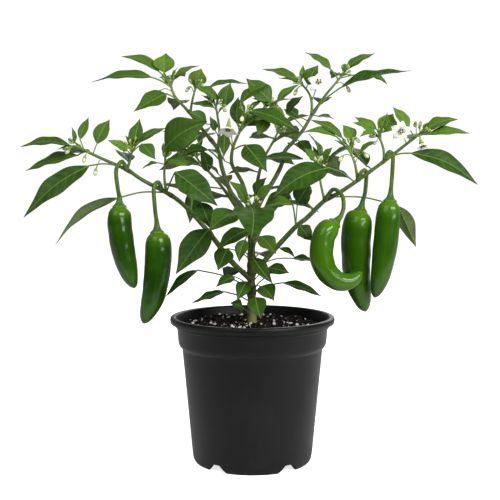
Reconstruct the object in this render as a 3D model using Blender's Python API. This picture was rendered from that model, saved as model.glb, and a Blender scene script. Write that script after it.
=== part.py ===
"""Potted chilli pepper plant: nursery pot, potting mix, trunk, leafy branches, hanging chillies and flowers.

Lengths below are in millimetres and become metres where a mesh is made. The origin is on the ground under the
middle of the pot, +Z is up, +X is the plant's right as one stands in front of it, and the front faces -Y.
"""

import math
import random

import bmesh
import bpy
from mathutils import Matrix, Vector

MM = 0.001
GAP = 0.3  # between touching pieces

# Pot
POT_HEIGHT = 146.0
LIP_RADIUS = 82.5
LIP_HEIGHT = 6.5
COLLAR_RADIUS = 75.6
COLLAR_HEIGHT = 31.0
BODY_RADIUS = 70.0
BASE_RADIUS = 60.0
WALL = 1.6
FLOOR_HEIGHT = 8.0
FEET = 5
NOTCH_WIDTH = 24.0
DRAIN_RADIUS = 4.0
POT_SIDES = 36

# Potting mix
SOIL_HEIGHT = 138.0
SOIL_RISE = 3.0  # height of its lumps
TRUNK_HOLE = 5.6
SOIL_SEED = 7

# Leaves and fruit
BLADE = 0.7  # thickness of a leaf in these solids
LONG_LEAF = 42.0  # a leaf over this length has one station more
LONG_STATIONS = ((0.2, 0.84), (0.45, 1.0), (0.76, 0.48), (1.0, 0.05))
SHORT_STATIONS = ((0.3, 0.96), (0.65, 0.72), (1.0, 0.06))
ARCH = 0.09  # how far a blade bows up between base and tip
PETIOLE = 0.65
BUD_RADIUS = 2.2
BUD_LENGTH = 7.5
FRUIT_SIDES = 12

TRUNK = [(0, 0, 104), (0, 0, 140), (-1, 1, 178), (-1, 0, 214), (-1, 0, 240), (-4, -5, 258)]
TRUNK_RADII = (5.0, 2.6)

# Each leafy stem has its main stem first, then its twigs, each from root to tip, with the radius at both ends.
# A leaf is its base, its tip, its width, how far its face leans to the front, and, where its stalk is long, the
# place on the stem that the stalk comes from. A bud is where its middle hangs.
SHOOTS = {
    "trunk": {
        "stems": [],
        "leaves": [
            ((-54, -10, 193), (-86, -14, 167), 14, 0.45, (-1, 0, 175)),
            ((-18, -12, 187), (-36, -26, 178), 14, 0.6, (-1, 0, 171)),
            ((-28, -6, 171), (-61, -10, 160), 14, 0.45, (0, 0, 158)),
            ((-24, -28, 216), (-33, -44, 196), 19, 1.6, (-1, 0, 200)),
            ((30, -6, 180), (69, -12, 167), 14, 0.45, (0, 0, 171)),
            ((15, -17, 196), (36, -28, 192), 16, 0.8, (0, 0, 180)),
            ((3, -32, 169), (8, -50, 150), 19, 2.0, (0, 0, 163)),
            ((0, -14, 206), (20, -34, 182), 15, 1.2, (0, 0, 198)),
            ((-6, -12, 182), (-15, -32, 166), 15, 1.5, (0, 0, 167)),
            ((8, -14, 227), (23, -32, 211), 18, 1.0, (0, 0, 216)),
            ((8, -18, 178), (21, -37, 166), 19, 1.0, (0, 0, 174)),
            ((-10, 16, 190), (-30, 54, 178), 22, -0.5, (0, 0, 180)),
            ((12, 16, 182), (28, 52, 190), 19, -0.5, (0, 0, 167)),
            ((6, 22, 206), (18, 64, 197), 23, -0.4, (0, 0, 196)),
            ((-9, -12, 155), (-22, -22, 162), 13, 1.2, (0, 0, 146)),
            ((-6, -10, 210), (-18, -16, 217), 9, 0.4, (0, 0, 203)),
            ((-7, -14, 224), (-13, -24, 202), 13, 1.5, (0, 0, 230)),
        ],
        "buds": [],
    },
    "branch_left_low": {
        "stems": [
            ([(-1, 0, 182), (-21, -3, 201), (-39, -8, 225), (-56, -13, 246), (-76, -18, 265), (-106, -24, 282),
              (-121, -27, 292), (-147, -32, 304), (-169, -36, 315)], 2.9, 1.3),
            ([(-121, -27, 292), (-118, -26, 302), (-116, -25, 312)], 1.4, 1.0),
            ([(-84, -19, 270), (-86, -17, 287), (-85, -16, 303)], 1.5, 1.0),
        ],
        "leaves": [
            ((-173, -38, 315), (-219, -46, 314), 17, 0.5),
            ((-168, -30, 306), (-221, -20, 291), 19, 0.7),
            ((-155, -42, 296), (-213, -64, 248), 24, 1.0, (-129, -29, 296)),
            ((-130, -22, 265), (-190, -34, 220), 20, -0.5, (-84, -20, 270)),
            ((-165, -33, 321), (-159, -18, 343), 10, 0.5),
            ((-150, -26, 317), (-139, -14, 341), 15, 2.0),
            ((-116, -24, 314), (-110, -12, 342), 14, 1.5),
            ((-110, -24, 318), (-85, -12, 333), 12, 0.55),
            ((-106, -28, 317), (-92, -42, 302), 15, 0.8),
            ((-119, -36, 310), (-137, -42, 320), 12, 0.8),
            ((-93, -16, 299), (-109, -8, 293), 10, 0.5),
            ((-85, -21, 313), (-43, -38, 338), 32, 2.2),
            ((-82, -16, 303), (-61, -30, 296), 15, 1.0),
            ((-73, -10, 309), (-50, -2, 328), 10, 0.65, (-85, -16, 302)),
            ((-42, -28, 235), (-73, -50, 193), 28, 1.2, (-36, -7, 221)),
            ((-74, -36, 290), (-33, -46, 258), 28, 1.4, (-84, -20, 270)),
            ((-50, -34, 261), (-38, -50, 235), 17, 1.2, (-57, -13, 246)),
            ((-162, -16, 310), (-196, 26, 304), 20, -0.3),
            ((-122, -10, 300), (-140, 34, 312), 20, -0.5),
            ((-60, -4, 262), (-92, 28, 278), 20, -0.5),
        ],
        "buds": [(-176, -38, 310), (-160, -40, 302), (-150, -37, 290), (-122, -31, 312), (-120, -21, 315)],
    },
    "branch_left_high": {
        "stems": [
            ([(-1, 0, 238), (-10, 3, 254), (-21, 7, 269), (-27, 10, 283), (-31, 12, 296), (-35, 14, 313),
              (-49, 19, 331), (-63, 24, 349), (-79, 29, 367), (-84, 34, 381)], 2.7, 1.2),
            ([(-35, 14, 313), (-33, 12, 330), (-35, 12, 346), (-37, 14, 358)], 1.5, 1.0),
            ([(-63, 24, 349), (-61, 26, 362), (-58, 28, 374)], 1.3, 1.0),
        ],
        "leaves": [
            ((-102, 31, 386), (-166, 42, 382), 22, 0.6),
            ((-95, 37, 392), (-135, 48, 409), 16, 0.55),
            ((-90, 36, 391), (-89, 45, 412), 22, 2.0),
            ((-80, 36, 386), (-54, 42, 399), 12, 0.55),
            ((-87, 24, 369), (-118, 6, 350), 21, 1.5, (-74, 28, 361)),
            ((-58, 29, 377), (-52, 33, 395), 19, 2.0),
            ((-44, 18, 375), (-4, 26, 379), 13, 0.45, (-37, 14, 357)),
            ((-27, 10, 356), (-22, 16, 379), 16, 2.5, (-35, 12, 347)),
            ((-34, 12, 362), (-57, 4, 375), 17, 0.8),
            ((-38, 12, 354), (-62, 18, 359), 13, 0.5),
            ((-46, 14, 338), (-64, 8, 350), 16, 0.8),
            ((-37, 8, 331), (-42, 0, 345), 9, 1.0),
            ((-44, 8, 312), (-70, -6, 306), 16, 0.65, (-32, 12, 301)),
            ((-33, 2, 287), (-47, -4, 298), 10, 0.5),
            ((-70, 34, 362), (-84, 76, 356), 22, -0.4),
            ((-44, 26, 328), (-58, 68, 322), 22, -0.4),
            ((-82, 44, 384), (-72, 82, 392), 18, -0.5),
        ],
        "buds": [(-97, 28, 369), (-66, 31, 374), (-80, 40, 391), (-28, 4, 352)],
    },
    "branch_centre": {
        "stems": [
            ([(-4, -5, 258), (-9, -12, 277), (-14, -15, 287), (-20, -18, 298), (-19, -20, 313),
              (-12, -22, 330), (-6, -24, 346)], 2.3, 1.1),
            ([(-12, -22, 330), (2, -18, 343), (14, -15, 354)], 1.3, 1.0),
        ],
        "leaves": [
            ((18, -16, 358), (-6, -10, 381), 22, 1.2),
            ((-3, -25, 349), (43, -42, 329), 22, 0.6),
            ((-15, -14, 338), (18, -2, 339), 18, 1.4),
            ((-7, -28, 316), (14, -48, 290), 23, 1.5, (-19, -20, 311)),
            ((2, -10, 268), (14, -14, 285), 13, 1.0),
            ((24, -12, 358), (46, -6, 376), 11, 0.65),
            ((-12, -22, 356), (16, -12, 375), 15, 0.5),
            ((14, -21, 341), (5, -31, 324), 14, 0.8, (8, -17, 349)),
            ((22, -10, 352), (0, -20, 361), 10, 0.8),
            ((-26, -26, 300), (-42, -40, 312), 11, 0.6),
            ((-15, -8, 337), (-14, 2, 364), 14, 2.0),
            ((-27, -16, 328), (-28, -22, 304), 11, 1.5, (-19, -20, 314)),
        ],
        "buds": [(-10, -31, 341)],
    },
    "branch_right_high": {
        "stems": [
            ([(-1, 0, 240), (9, 3, 262), (16, 6, 273), (24, 9, 286), (30, 12, 299), (33, 14, 311), (40, 16, 319),
              (51, 19, 332), (60, 22, 347), (73, 25, 366), (82, 28, 377), (93, 32, 390)], 2.7, 1.1),
            ([(60, 22, 347), (60, 23, 360), (57, 25, 370), (49, 27, 380)], 1.4, 1.0),
        ],
        "leaves": [
            ((46, 28, 382), (10, 38, 395), 17, 0.55),
            ((80, 32, 394), (54, 38, 412), 16, 0.5, (88, 30, 384)),
            ((56, 25, 378), (66, 20, 397), 17, 2.0),
            ((34, 10, 348), (50, 4, 365), 16, 0.6, (52, 19, 334)),
            ((46, 24, 346), (32, 36, 354), 13, 1.0),
            ((46, 6, 321), (60, -2, 306), 13, 1.0),
            ((66, 18, 346), (81, 10, 343), 11, 0.5),
            ((95, 33, 393), (125, 38, 411), 14, 0.55),
            ((88, 12, 374), (157, 2, 390), 24, 0.5, (61, 22, 348)),
            ((118, 26, 388), (136, 20, 378), 10, 0.65, (92, 31, 389)),
            ((50, 2, 303), (-3, -10, 300), 16, 0.55, (33, 14, 310)),
            ((72, 34, 364), (74, 76, 362), 22, -0.4),
            ((42, 22, 318), (58, 64, 312), 22, -0.4),
            ((92, 40, 388), (84, 82, 390), 18, -0.5),
        ],
        "buds": [(97, 22, 373), (44, 32, 371)],
    },
    "branch_right_low": {
        "stems": [
            ([(-1, 0, 188), (10, -1, 199), (21, -3, 212), (43, -7, 236), (54, -9, 245), (71, -12, 262), (84, -14, 269),
              (103, -18, 282), (130, -22, 302), (149, -25, 317), (163, -27, 328)], 2.9, 1.3),
            ([(103, -18, 282), (100, -17, 298), (95, -16, 311)], 1.5, 1.0),
            ([(128, -22, 301), (127, -21, 313), (123, -20, 324)], 1.4, 1.0),
            ([(71, -12, 262), (67, -11, 280), (66, -10, 295)], 1.3, 0.9),
        ],
        "leaves": [
            ((151, -24, 332), (137, -14, 353), 13, 0.6),
            ((125, -18, 328), (138, -8, 347), 19, 1.5),
            ((119, -20, 328), (98, -14, 338), 12, 0.65),
            ((121, -17, 331), (101, -4, 344), 11, 0.65),
            ((118, -23, 329), (103, -31, 324), 10, 0.5),
            ((104, -19, 308), (121, -25, 320), 11, 0.5),
            ((166, -27, 329), (199, -20, 341), 16, 0.6),
            ((169, -29, 326), (208, -32, 327), 16, 0.6),
            ((152, -30, 308), (218, -26, 278), 23, 0.9, (132, -23, 303)),
            ((88, -14, 323), (57, -10, 341), 13, 0.65),
            ((98, -15, 320), (89, -8, 336), 14, 1.0),
            ((82, -19, 324), (50, -22, 329), 13, 0.65, (95, -16, 309)),
            ((146, 8, 256), (164, 2, 215), 18, -0.7, (78, -13, 266)),
            ((73, -38, 294), (18, -58, 265), 29, 1.2, (101, -18, 280)),
            ((40, -12, 205), (63, -16, 201), 15, 0.4, (10, -1, 199)),
            ((44, -18, 260), (55, -25, 278), 19, 2.0, (43, -7, 236)),
            ((46, -20, 238), (58, -24, 223), 17, 1.0, (40, -7, 233)),
            ((27, -8, 215), (42, -16, 206), 9, 0.5),
            ((61, -8, 301), (50, -12, 313), 12, 0.8),
            ((70, -12, 301), (78, -18, 314), 11, 0.8),
            ((36, -30, 268), (9, -46, 253), 18, 1.4, (43, -7, 236)),
            ((112, -8, 296), (100, 36, 316), 20, -0.5),
            ((52, 0, 262), (40, 42, 284), 20, -0.5),
            ((154, -14, 322), (182, 26, 328), 19, -0.4),
        ],
        "buds": [(86, -21, 303), (110, -23, 306), (102, -20, 321), (158, -20, 336)],
    },
    "branch_front": {
        "stems": [
            ([(-1, 0, 206), (0, -16, 228), (-1, -38, 244), (-1, -62, 257)], 2.1, 1.1),
        ],
        "leaves": [
            ((-1, -68, 257), (-1, -134, 233), 37, 0.8),
            ((-14, -50, 252), (-40, -82, 236), 24, 1.0),
            ((10, -52, 256), (38, -82, 260), 19, 0.8),
            ((-6, -58, 262), (-22, -70, 282), 15, 1.0),
            ((4, -60, 262), (18, -74, 280), 13, 1.0),
            ((-4, -30, 234), (-34, -54, 216), 19, 0.8),
        ],
        "buds": [(6, -66, 264)],
    },
    "branch_back": {
        "stems": [
            ([(-1, 0, 231), (3, 14, 258), (6, 32, 284), (12, 52, 304), (22, 74, 322), (28, 88, 334)], 2.3, 1.1),
        ],
        "leaves": [
            ((14, 56, 306), (46, 92, 298), 23, -0.5),
            ((22, 78, 326), (-4, 116, 328), 23, -0.5),
            ((30, 92, 336), (50, 134, 324), 25, -0.6),
            ((28, 90, 340), (20, 98, 370), 18, -1.0),
            ((6, 38, 290), (-26, 62, 288), 21, -0.3),
            ((20, 68, 320), (58, 72, 332), 19, -0.2),
            ((30, 88, 338), (64, 96, 352), 18, -0.3),
            ((2, 20, 266), (-10, 58, 258), 21, -0.3),
        ],
        "buds": [(34, 96, 336)],
    },
    "branch_back_left": {
        "stems": [
            ([(-1, 0, 222), (-8, 14, 240), (-22, 32, 262), (-38, 54, 282), (-54, 76, 298), (-62, 88, 308)], 2.3, 1.1),
        ],
        "leaves": [
            ((-56, 80, 300), (-102, 98, 292), 25, -0.4),
            ((-64, 92, 310), (-82, 134, 300), 25, -0.6),
            ((-60, 90, 314), (-46, 108, 340), 19, -0.6),
            ((-38, 58, 284), (-30, 100, 274), 23, -0.6),
            ((-22, 36, 264), (-64, 56, 256), 21, -0.3),
            ((-66, 86, 312), (-96, 76, 334), 18, 0.3),
            ((-54, 60, 296), (-84, 56, 304), 14, 0.55),
            ((-58, 30, 272), (-64, 18, 238), 16, 1.0, (-30, 42, 270)),
            ((-46, 50, 290), (-54, 40, 314), 15, 1.0),
        ],
        "buds": [(-68, 96, 306)],
    },
    "branch_back_right": {
        "stems": [
            ([(-1, 0, 213), (10, 14, 236), (26, 32, 256), (44, 52, 274), (62, 72, 290), (72, 84, 300)], 2.3, 1.1),
        ],
        "leaves": [
            ((64, 74, 291), (108, 86, 282), 25, -0.3),
            ((74, 88, 302), (98, 128, 292), 25, -0.6),
            ((72, 86, 306), (62, 108, 332), 19, -0.6),
            ((46, 56, 276), (52, 98, 264), 23, -0.6),
            ((28, 34, 258), (70, 46, 248), 21, -0.2),
            ((80, 78, 300), (110, 70, 320), 18, 0.3),
            ((40, 46, 272), (8, 60, 270), 18, -0.2),
        ],
        "buds": [(82, 92, 294)],
    },
}
TIP_SEED = 329
TIP_LEAVES = (2, 2)  # young leaves at the end of a main stem and of a twig
TIP_LENGTH = (13.0, 22.0)

# Fruits: the curve through each one from shoulder to tip, its largest radius, and its hooked stalk from the branch.
CHILLIES = [
    ([(-128, -33, 257), (-128, -34, 240), (-125, -34, 216), (-120, -34, 195), (-114, -33, 178)], 11.9,
     [(-121, -27, 292), (-125, -33, 300), (-130, -38, 292), (-129, -37, 275), (-128, -33, 257)]),
    ([(-92, -30, 232), (-91, -31, 215), (-92, -32, 198), (-96, -32, 170), (-106, -31, 143)], 12.8,
     [(-88, -20, 272), (-91, -25, 280), (-95, -30, 275), (-94, -31, 255), (-92, -30, 232)]),
    ([(79, -38, 241), (69, -42, 230), (66, -44, 212), (70, -44, 197), (82, -43, 186), (95, -42, 186),
      (105, -41, 194)], 11.2,
     [(71, -12, 262), (79, -18, 273), (87, -25, 267), (88, -31, 256), (79, -38, 241)]),
    ([(107, -8, 252), (104, -7, 237), (103, -6, 212), (105, -6, 182), (113, -6, 151)], 14.8,
     [(103, -18, 282), (106, -22, 290), (111, -18, 290), (111, -11, 271), (107, -8, 252)]),
    ([(134, -20, 262), (132, -21, 240), (129, -22, 212), (125, -22, 188), (120, -21, 167)], 11.9,
     [(130, -22, 302), (132, -23, 309), (136, -22, 306), (136, -20, 288), (134, -20, 262)]),
]
CHILLI_PROFILE = ((0.0, 0.42), (0.03, 0.72), (0.09, 0.92), (0.22, 1.0), (0.45, 0.99), (0.65, 0.9), (0.8, 0.75),
                  (0.91, 0.54), (0.972, 0.31), (1.0, 0.08))
CALYX_RADIUS = 6.6
CALYX_HEIGHT = 4.5
STALK_RADIUS = 1.7

# Flowers: the shoot that carries each one, where its stalk starts, its middle, which way it faces, its radius
# and how far its petals are open.
FLOWERS = [
    ("branch_centre", (-19, -20, 313), (-23, -33, 333), (-0.15, -0.55, -0.82), 11.5, 0.55),
    ("branch_right_high", (60, 23, 360), (66, 15, 379), (0.1, -0.95, 0.3), 11.5, 1.0),
    ("branch_right_low", (149, -25, 317), (142, -33, 329), (-0.1, -0.95, -0.1), 11.0, 0.9),
    ("branch_right_low", (157, -26, 322), (160, -44, 317), (0.2, -0.5, -0.85), 9.0, 0.45),
]
PETALS = 5
PETAL_OUTLINE = (1.0, 0.62, 0.3, 0.62)  # of a petal's tip, flank, the notch between two petals, and flank
PETAL = 0.7
COROLLA_MIDDLE = 2.4


def remove_all():
    for obj in list(bpy.data.objects):
        bpy.data.objects.remove(obj)


def material(name, colour, roughness):
    mat = bpy.data.materials.new(name)
    mat.use_nodes = True
    shader = mat.node_tree.nodes["Principled BSDF"]
    shader.inputs["Base Color"].default_value = (*colour, 1)
    shader.inputs["Roughness"].default_value = roughness
    shader.inputs["Metallic"].default_value = 0
    return mat


def link(mesh, name, mat=None):
    obj = bpy.data.objects.new(name, mesh)
    bpy.context.collection.objects.link(obj)
    if mat:
        obj.data.materials.clear()
        obj.data.materials.append(mat)
    return obj


def finish(bm, name, mat=None):
    """Turns a bmesh in millimetres into an object in metres."""
    bmesh.ops.scale(bm, vec=(MM, MM, MM), verts=bm.verts)
    bmesh.ops.recalc_face_normals(bm, faces=bm.faces)
    mesh = bpy.data.meshes.new(name)
    bm.to_mesh(mesh)
    bm.free()
    return link(mesh, name, mat)


def smooth_path(points, steps):
    """A Catmull-Rom curve through the points, with the given number of steps between two of them."""
    pts = [Vector(p) for p in points]
    ends = [2 * pts[0] - pts[1]] + pts + [2 * pts[-1] - pts[-2]]
    path = []
    for a, b, c, d in zip(ends, ends[1:], ends[2:], ends[3:]):
        for k in range(steps):
            t = k / steps
            path.append(0.5 * (2 * b + (c - a) * t + (2 * a - 5 * b + 4 * c - d) * t * t
                               + (3 * b - a - 3 * c + d) * t * t * t))
    path.append(pts[-1])
    return path


def tube(path, radii, sides):
    """A closed tube swept along the path, with a flat cap at each end."""
    bm = bmesh.new()
    side = (path[1] - path[0]).orthogonal().normalized()
    before = None
    for i, (point, radius) in enumerate(zip(path, radii)):
        ahead = (path[min(i + 1, len(path) - 1)] - path[max(i - 1, 0)]).normalized()
        side = (side - ahead * side.dot(ahead)).normalized()
        turn = Matrix((side, ahead.cross(side), ahead)).transposed().to_4x4()
        ring = bmesh.ops.create_circle(bm, segments=sides, radius=radius, cap_ends=i in (0, len(path) - 1),
                                       matrix=Matrix.Translation(point) @ turn)["verts"]
        edges = [e for e in bm.edges if e.verts[0] in ring and e.verts[1] in ring]
        if before:
            bmesh.ops.bridge_loops(bm, edges=before + edges)
        before = edges
    return bm


def stem_object(points, start, end, sides, swell=0.0):
    """A stem that tapers from root to tip. As a cutter it is larger all round by its swell."""
    path = [Vector(p) for p in points]
    last = len(path) - 1
    radii = [start + (end - start) * i / last + swell for i in range(len(path))]
    path[-1] += (path[-1] - path[-2]).normalized() * swell
    return finish(tube(path, radii, sides), "stem")


def nearest(point, paths):
    """The place on the stems that is closest to the point, a little before the end of each stem."""
    return min((p for path in paths for p in path[:-3]), key=lambda p: (p - point).length)


def leaf_object(leaf, paths):
    """A leaf in one body: a four-sided stalk from inside the stem, which flattens into an arched blade."""
    base, tip, width, lean = leaf[:4]
    base, tip = Vector(base), Vector(tip)
    length = (tip - base).length
    ahead = (tip - base).normalized()
    root = nearest(Vector(leaf[4]) if len(leaf) > 4 else base - 8 * ahead, paths)
    lift = Vector((0, -lean, 1))
    up = (lift - ahead * lift.dot(ahead)).normalized()
    across = ahead.cross(up)
    stalk_way = (base - root).normalized()
    stations = LONG_STATIONS if length > LONG_LEAF else SHORT_STATIONS
    # The tube is first made straight, with ring k at height k, and then each ring is moved to its place.
    bm = tube([Vector((0, 0, k)) for k in range(2 + len(stations))], [1.0] * (2 + len(stations)), 4)
    for vert in bm.verts:
        ring = round(vert.co.z)
        side, top = (math.copysign(1, v) for v in (vert.co.x + vert.co.y, vert.co.x - vert.co.y))
        if ring < 2:
            turn = ahead.rotation_difference(stalk_way if ring == 0 else stalk_way + ahead)
            centre = root if ring == 0 else base
            vert.co = centre + turn @ (across * side + up * top) * PETIOLE * 0.8
            continue
        s, share = stations[ring - 2]
        rise = ARCH * length * math.sin(math.pi * s) + top * BLADE / 2
        vert.co = base + (tip - base) * s + across * side * share * width / 2 + up * rise
    bmesh.ops.triangulate(bm, faces=bm.faces)
    return finish(bm, "leaf")


def tip_leaves(path, count, draws):
    """Young leaves that open around the end of a stem."""
    ahead = (path[-1] - path[-3]).normalized()
    side = ahead.orthogonal().normalized()
    leaves = []
    turn = draws.uniform(0, 360)
    for k in range(count):
        around = Matrix.Rotation(math.radians(turn + k * 360 / count), 3, ahead) @ side
        way = (ahead * draws.uniform(0.5, 1.1) + around + Vector((0, 0, 0.3))).normalized()
        length = draws.uniform(*TIP_LENGTH)
        base = path[-1] + way * 3.5
        leaves.append((base, base + way * length, length * 0.36, 0.4, path[-4]))
    return leaves


def bud_objects(spot, paths):
    """A flower bud that hangs from a thin bowed stalk."""
    spot = Vector(spot)
    root = nearest(spot - Vector((0, 0, 4)), paths)
    way = ((spot - root).normalized() - Vector((0, 0, 1.3))).normalized()
    foot = spot - way * BUD_LENGTH / 2
    middle = (root + foot) / 2 + Vector((0, 0, 1)) * (foot - root).length * 0.22
    stalk = tube([root, middle, foot + way * 1.5], [0.6, 0.6, 0.6], 4)
    body = [foot + way * share * BUD_LENGTH for share in (0, 0.25, 0.7, 1)]
    return [finish(stalk, "stalk"), finish(tube(body, [1.0, BUD_RADIUS, BUD_RADIUS * 0.9, 0.5], 5), "bud")]


def combine(first, others, name, operation):
    """Joins the other objects to the first one, or cuts them out of it, and removes them."""
    group = bpy.data.collections.new(name + "_" + operation.lower())
    for obj in others:
        group.objects.link(obj)
    boolean = first.modifiers.new(operation, "BOOLEAN")
    boolean.operand_type = "COLLECTION"
    boolean.collection = group
    boolean.operation = operation
    boolean.solver = "EXACT"
    bpy.context.view_layer.update()
    solid = first.evaluated_get(bpy.context.evaluated_depsgraph_get())
    mesh = bpy.data.meshes.new_from_object(solid)
    first.modifiers.clear()
    first.data = mesh
    for obj in others:
        bpy.data.objects.remove(obj)
    bpy.data.collections.remove(group)
    return first


def flower_stalk(root, centre, axis):
    """The stalk of a flower, which widens into the little cup that its petals sit on."""
    centre, axis = Vector(centre), Vector(axis).normalized()
    cup = centre - axis * GAP
    path = smooth_path([root, (root + cup) / 2 - axis * 5, cup - axis * 8, cup - axis * 3.5], 2)
    path += [cup - axis * 1.8, cup]
    return finish(tube(path, [0.65] * (len(path) - 3) + [0.9, 2.1, 2.3], 6), "stalk")


def make_shoot(name, shoot, mat, draws):
    """A leafy stem as one body: stems, twigs, leaves, buds and flower stalks."""
    stems = [(TRUNK, *TRUNK_RADII)] if name == "trunk" else shoot["stems"]
    paths = [smooth_path(points, 8) for points, _, _ in stems]
    pieces = [stem_object(*stem, 8 if name == "trunk" else 6 if i == 0 else 5) for i, stem in enumerate(stems)]
    leaves = list(shoot["leaves"])
    if name != "trunk":
        for i, path in enumerate(paths):
            leaves += tip_leaves(path, TIP_LEAVES[min(i, 1)], draws)
    pieces += [leaf_object(leaf, paths) for leaf in leaves]
    for spot in shoot["buds"]:
        pieces += bud_objects(spot, paths)
    pieces += [flower_stalk(nearest(Vector(root), paths), centre, axis)
               for carrier, root, centre, axis, _, _ in FLOWERS if carrier == name]
    body = combine(pieces[0], pieces[1:], name, "UNION")
    if name != "trunk":
        body = combine(body, [stem_object(TRUNK, *TRUNK_RADII, 8, swell=GAP)], name, "DIFFERENCE")
    body.name = body.data.name = name
    body.data.materials.clear()
    body.data.materials.append(mat)


def make_chilli(number, curve, radius, mat):
    """A fruit: a round body swept along its curve, full at the shoulder and drawn to a blunt tip."""
    path = smooth_path(curve, 8)
    steps = [0.0]
    for a, b in zip(path, path[1:]):
        steps.append(steps[-1] + (b - a).length)
    spots = []
    for share, _ in CHILLI_PROFILE:
        at = share * steps[-1]
        i = max(k for k in range(len(steps) - 1) if steps[k] <= at)
        spots.append(path[i].lerp(path[i + 1], (at - steps[i]) / (steps[i + 1] - steps[i])))
    radii = [radius * part for _, part in CHILLI_PROFILE]
    return finish(tube(spots, radii, FRUIT_SIDES), f"chilli_{number}", mat)


def make_stalk(number, curve, stalk, carrier, mat):
    """A hooked fruit stalk that widens into the calyx cap on the fruit's shoulder."""
    top = Vector(curve[0])
    down = (Vector(curve[1]) - top).normalized()
    path = smooth_path(stalk, 2)[:-1]
    seat = top - down * GAP
    path[-1] = seat - down * CALYX_HEIGHT
    radii = [STALK_RADIUS] * (len(path) - 2) + [STALK_RADIUS * 1.2, STALK_RADIUS * 1.9]
    neck = [(0.45, CALYX_RADIUS * 0.62), (0.12, CALYX_RADIUS * 0.95), (0.0, CALYX_RADIUS * 0.9)]
    path += [seat - down * CALYX_HEIGHT * back for back, _ in neck]
    radii += [wide for _, wide in neck]
    piece = finish(tube(path, radii, 7), f"chilli_stalk_{number}", mat)
    stems = [stem_object(*stem, 6 if i == 0 else 5, swell=GAP) for i, stem in enumerate(SHOOTS[carrier]["stems"])]
    return combine(piece, stems, piece.name, "DIFFERENCE")


def make_flower(number, centre, axis, radius, spread, white, yellow):
    """A star of petals around a small flat middle, and the stamens that stand on it."""
    centre, axis = Vector(centre), Vector(axis).normalized()
    side = axis.orthogonal().normalized()
    bm = bmesh.new()
    bmesh.ops.create_circle(bm, segments=4 * PETALS, radius=COROLLA_MIDDLE, cap_ends=True)
    rim = bmesh.ops.extrude_edge_only(bm, edges=[e for e in bm.edges if e.is_boundary])["geom"]
    for vert in (v for v in rim if isinstance(v, bmesh.types.BMVert)):
        k = round(math.atan2(vert.co.y, vert.co.x) / (2 * math.pi) * 4 * PETALS) % 4
        reach = radius * PETAL_OUTLINE[k] - COROLLA_MIDDLE
        out = vert.co.normalized()
        vert.co += out * reach * spread + Vector((0, 0, reach * (1.15 - spread)))
    bmesh.ops.triangulate(bm, faces=bm.faces)
    bm.normal_update()
    if next(iter(bm.faces)).normal.z > 0:  # the thickness is added against the normals
        bmesh.ops.reverse_faces(bm, faces=bm.faces)
    bmesh.ops.solidify(bm, geom=bm.verts[:] + bm.edges[:] + bm.faces[:], thickness=PETAL)
    place = Matrix((side, axis.cross(side), axis)).transposed().to_4x4()
    bmesh.ops.transform(bm, matrix=Matrix.Translation(centre) @ place, verts=bm.verts)
    finish(bm, f"flower_{number}", white)
    foot = centre + axis * (PETAL + GAP)
    head = finish(tube([foot, foot + axis * 1.2, foot + axis * 4.5], [1.3, 1.5, 0.5], 6), "head")
    anthers = []
    for k in range(PETALS):
        out = Matrix.Rotation(2 * math.pi * (k + 0.5) / PETALS, 3, axis) @ side
        start = foot + axis * 0.7 + out * 0.9
        end = start + axis * 3.0 + out * (1.6 * spread)
        anthers.append(finish(tube([start, end], [0.6, 0.9], 4), "anther"))
    stamens = combine(head, anthers, f"stamens_{number}", "UNION")
    stamens.name = stamens.data.name = f"stamens_{number}"
    stamens.data.materials.clear()
    stamens.data.materials.append(yellow)


def turned(profile, sides, name):
    """A closed body turned around Z from a profile of radius and height."""
    bm = bmesh.new()
    verts = [bm.verts.new((radius, 0, height)) for radius, height in profile]
    edges = [bm.edges.new(pair) for pair in zip(verts, verts[1:] + verts[:1])]
    bmesh.ops.spin(bm, geom=verts + edges, cent=(0, 0, 0), axis=(0, 0, 1), angle=2 * math.pi, steps=sides,
                   use_merge=True)
    bmesh.ops.remove_doubles(bm, verts=bm.verts, dist=0.01)
    return finish(bm, name)


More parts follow.
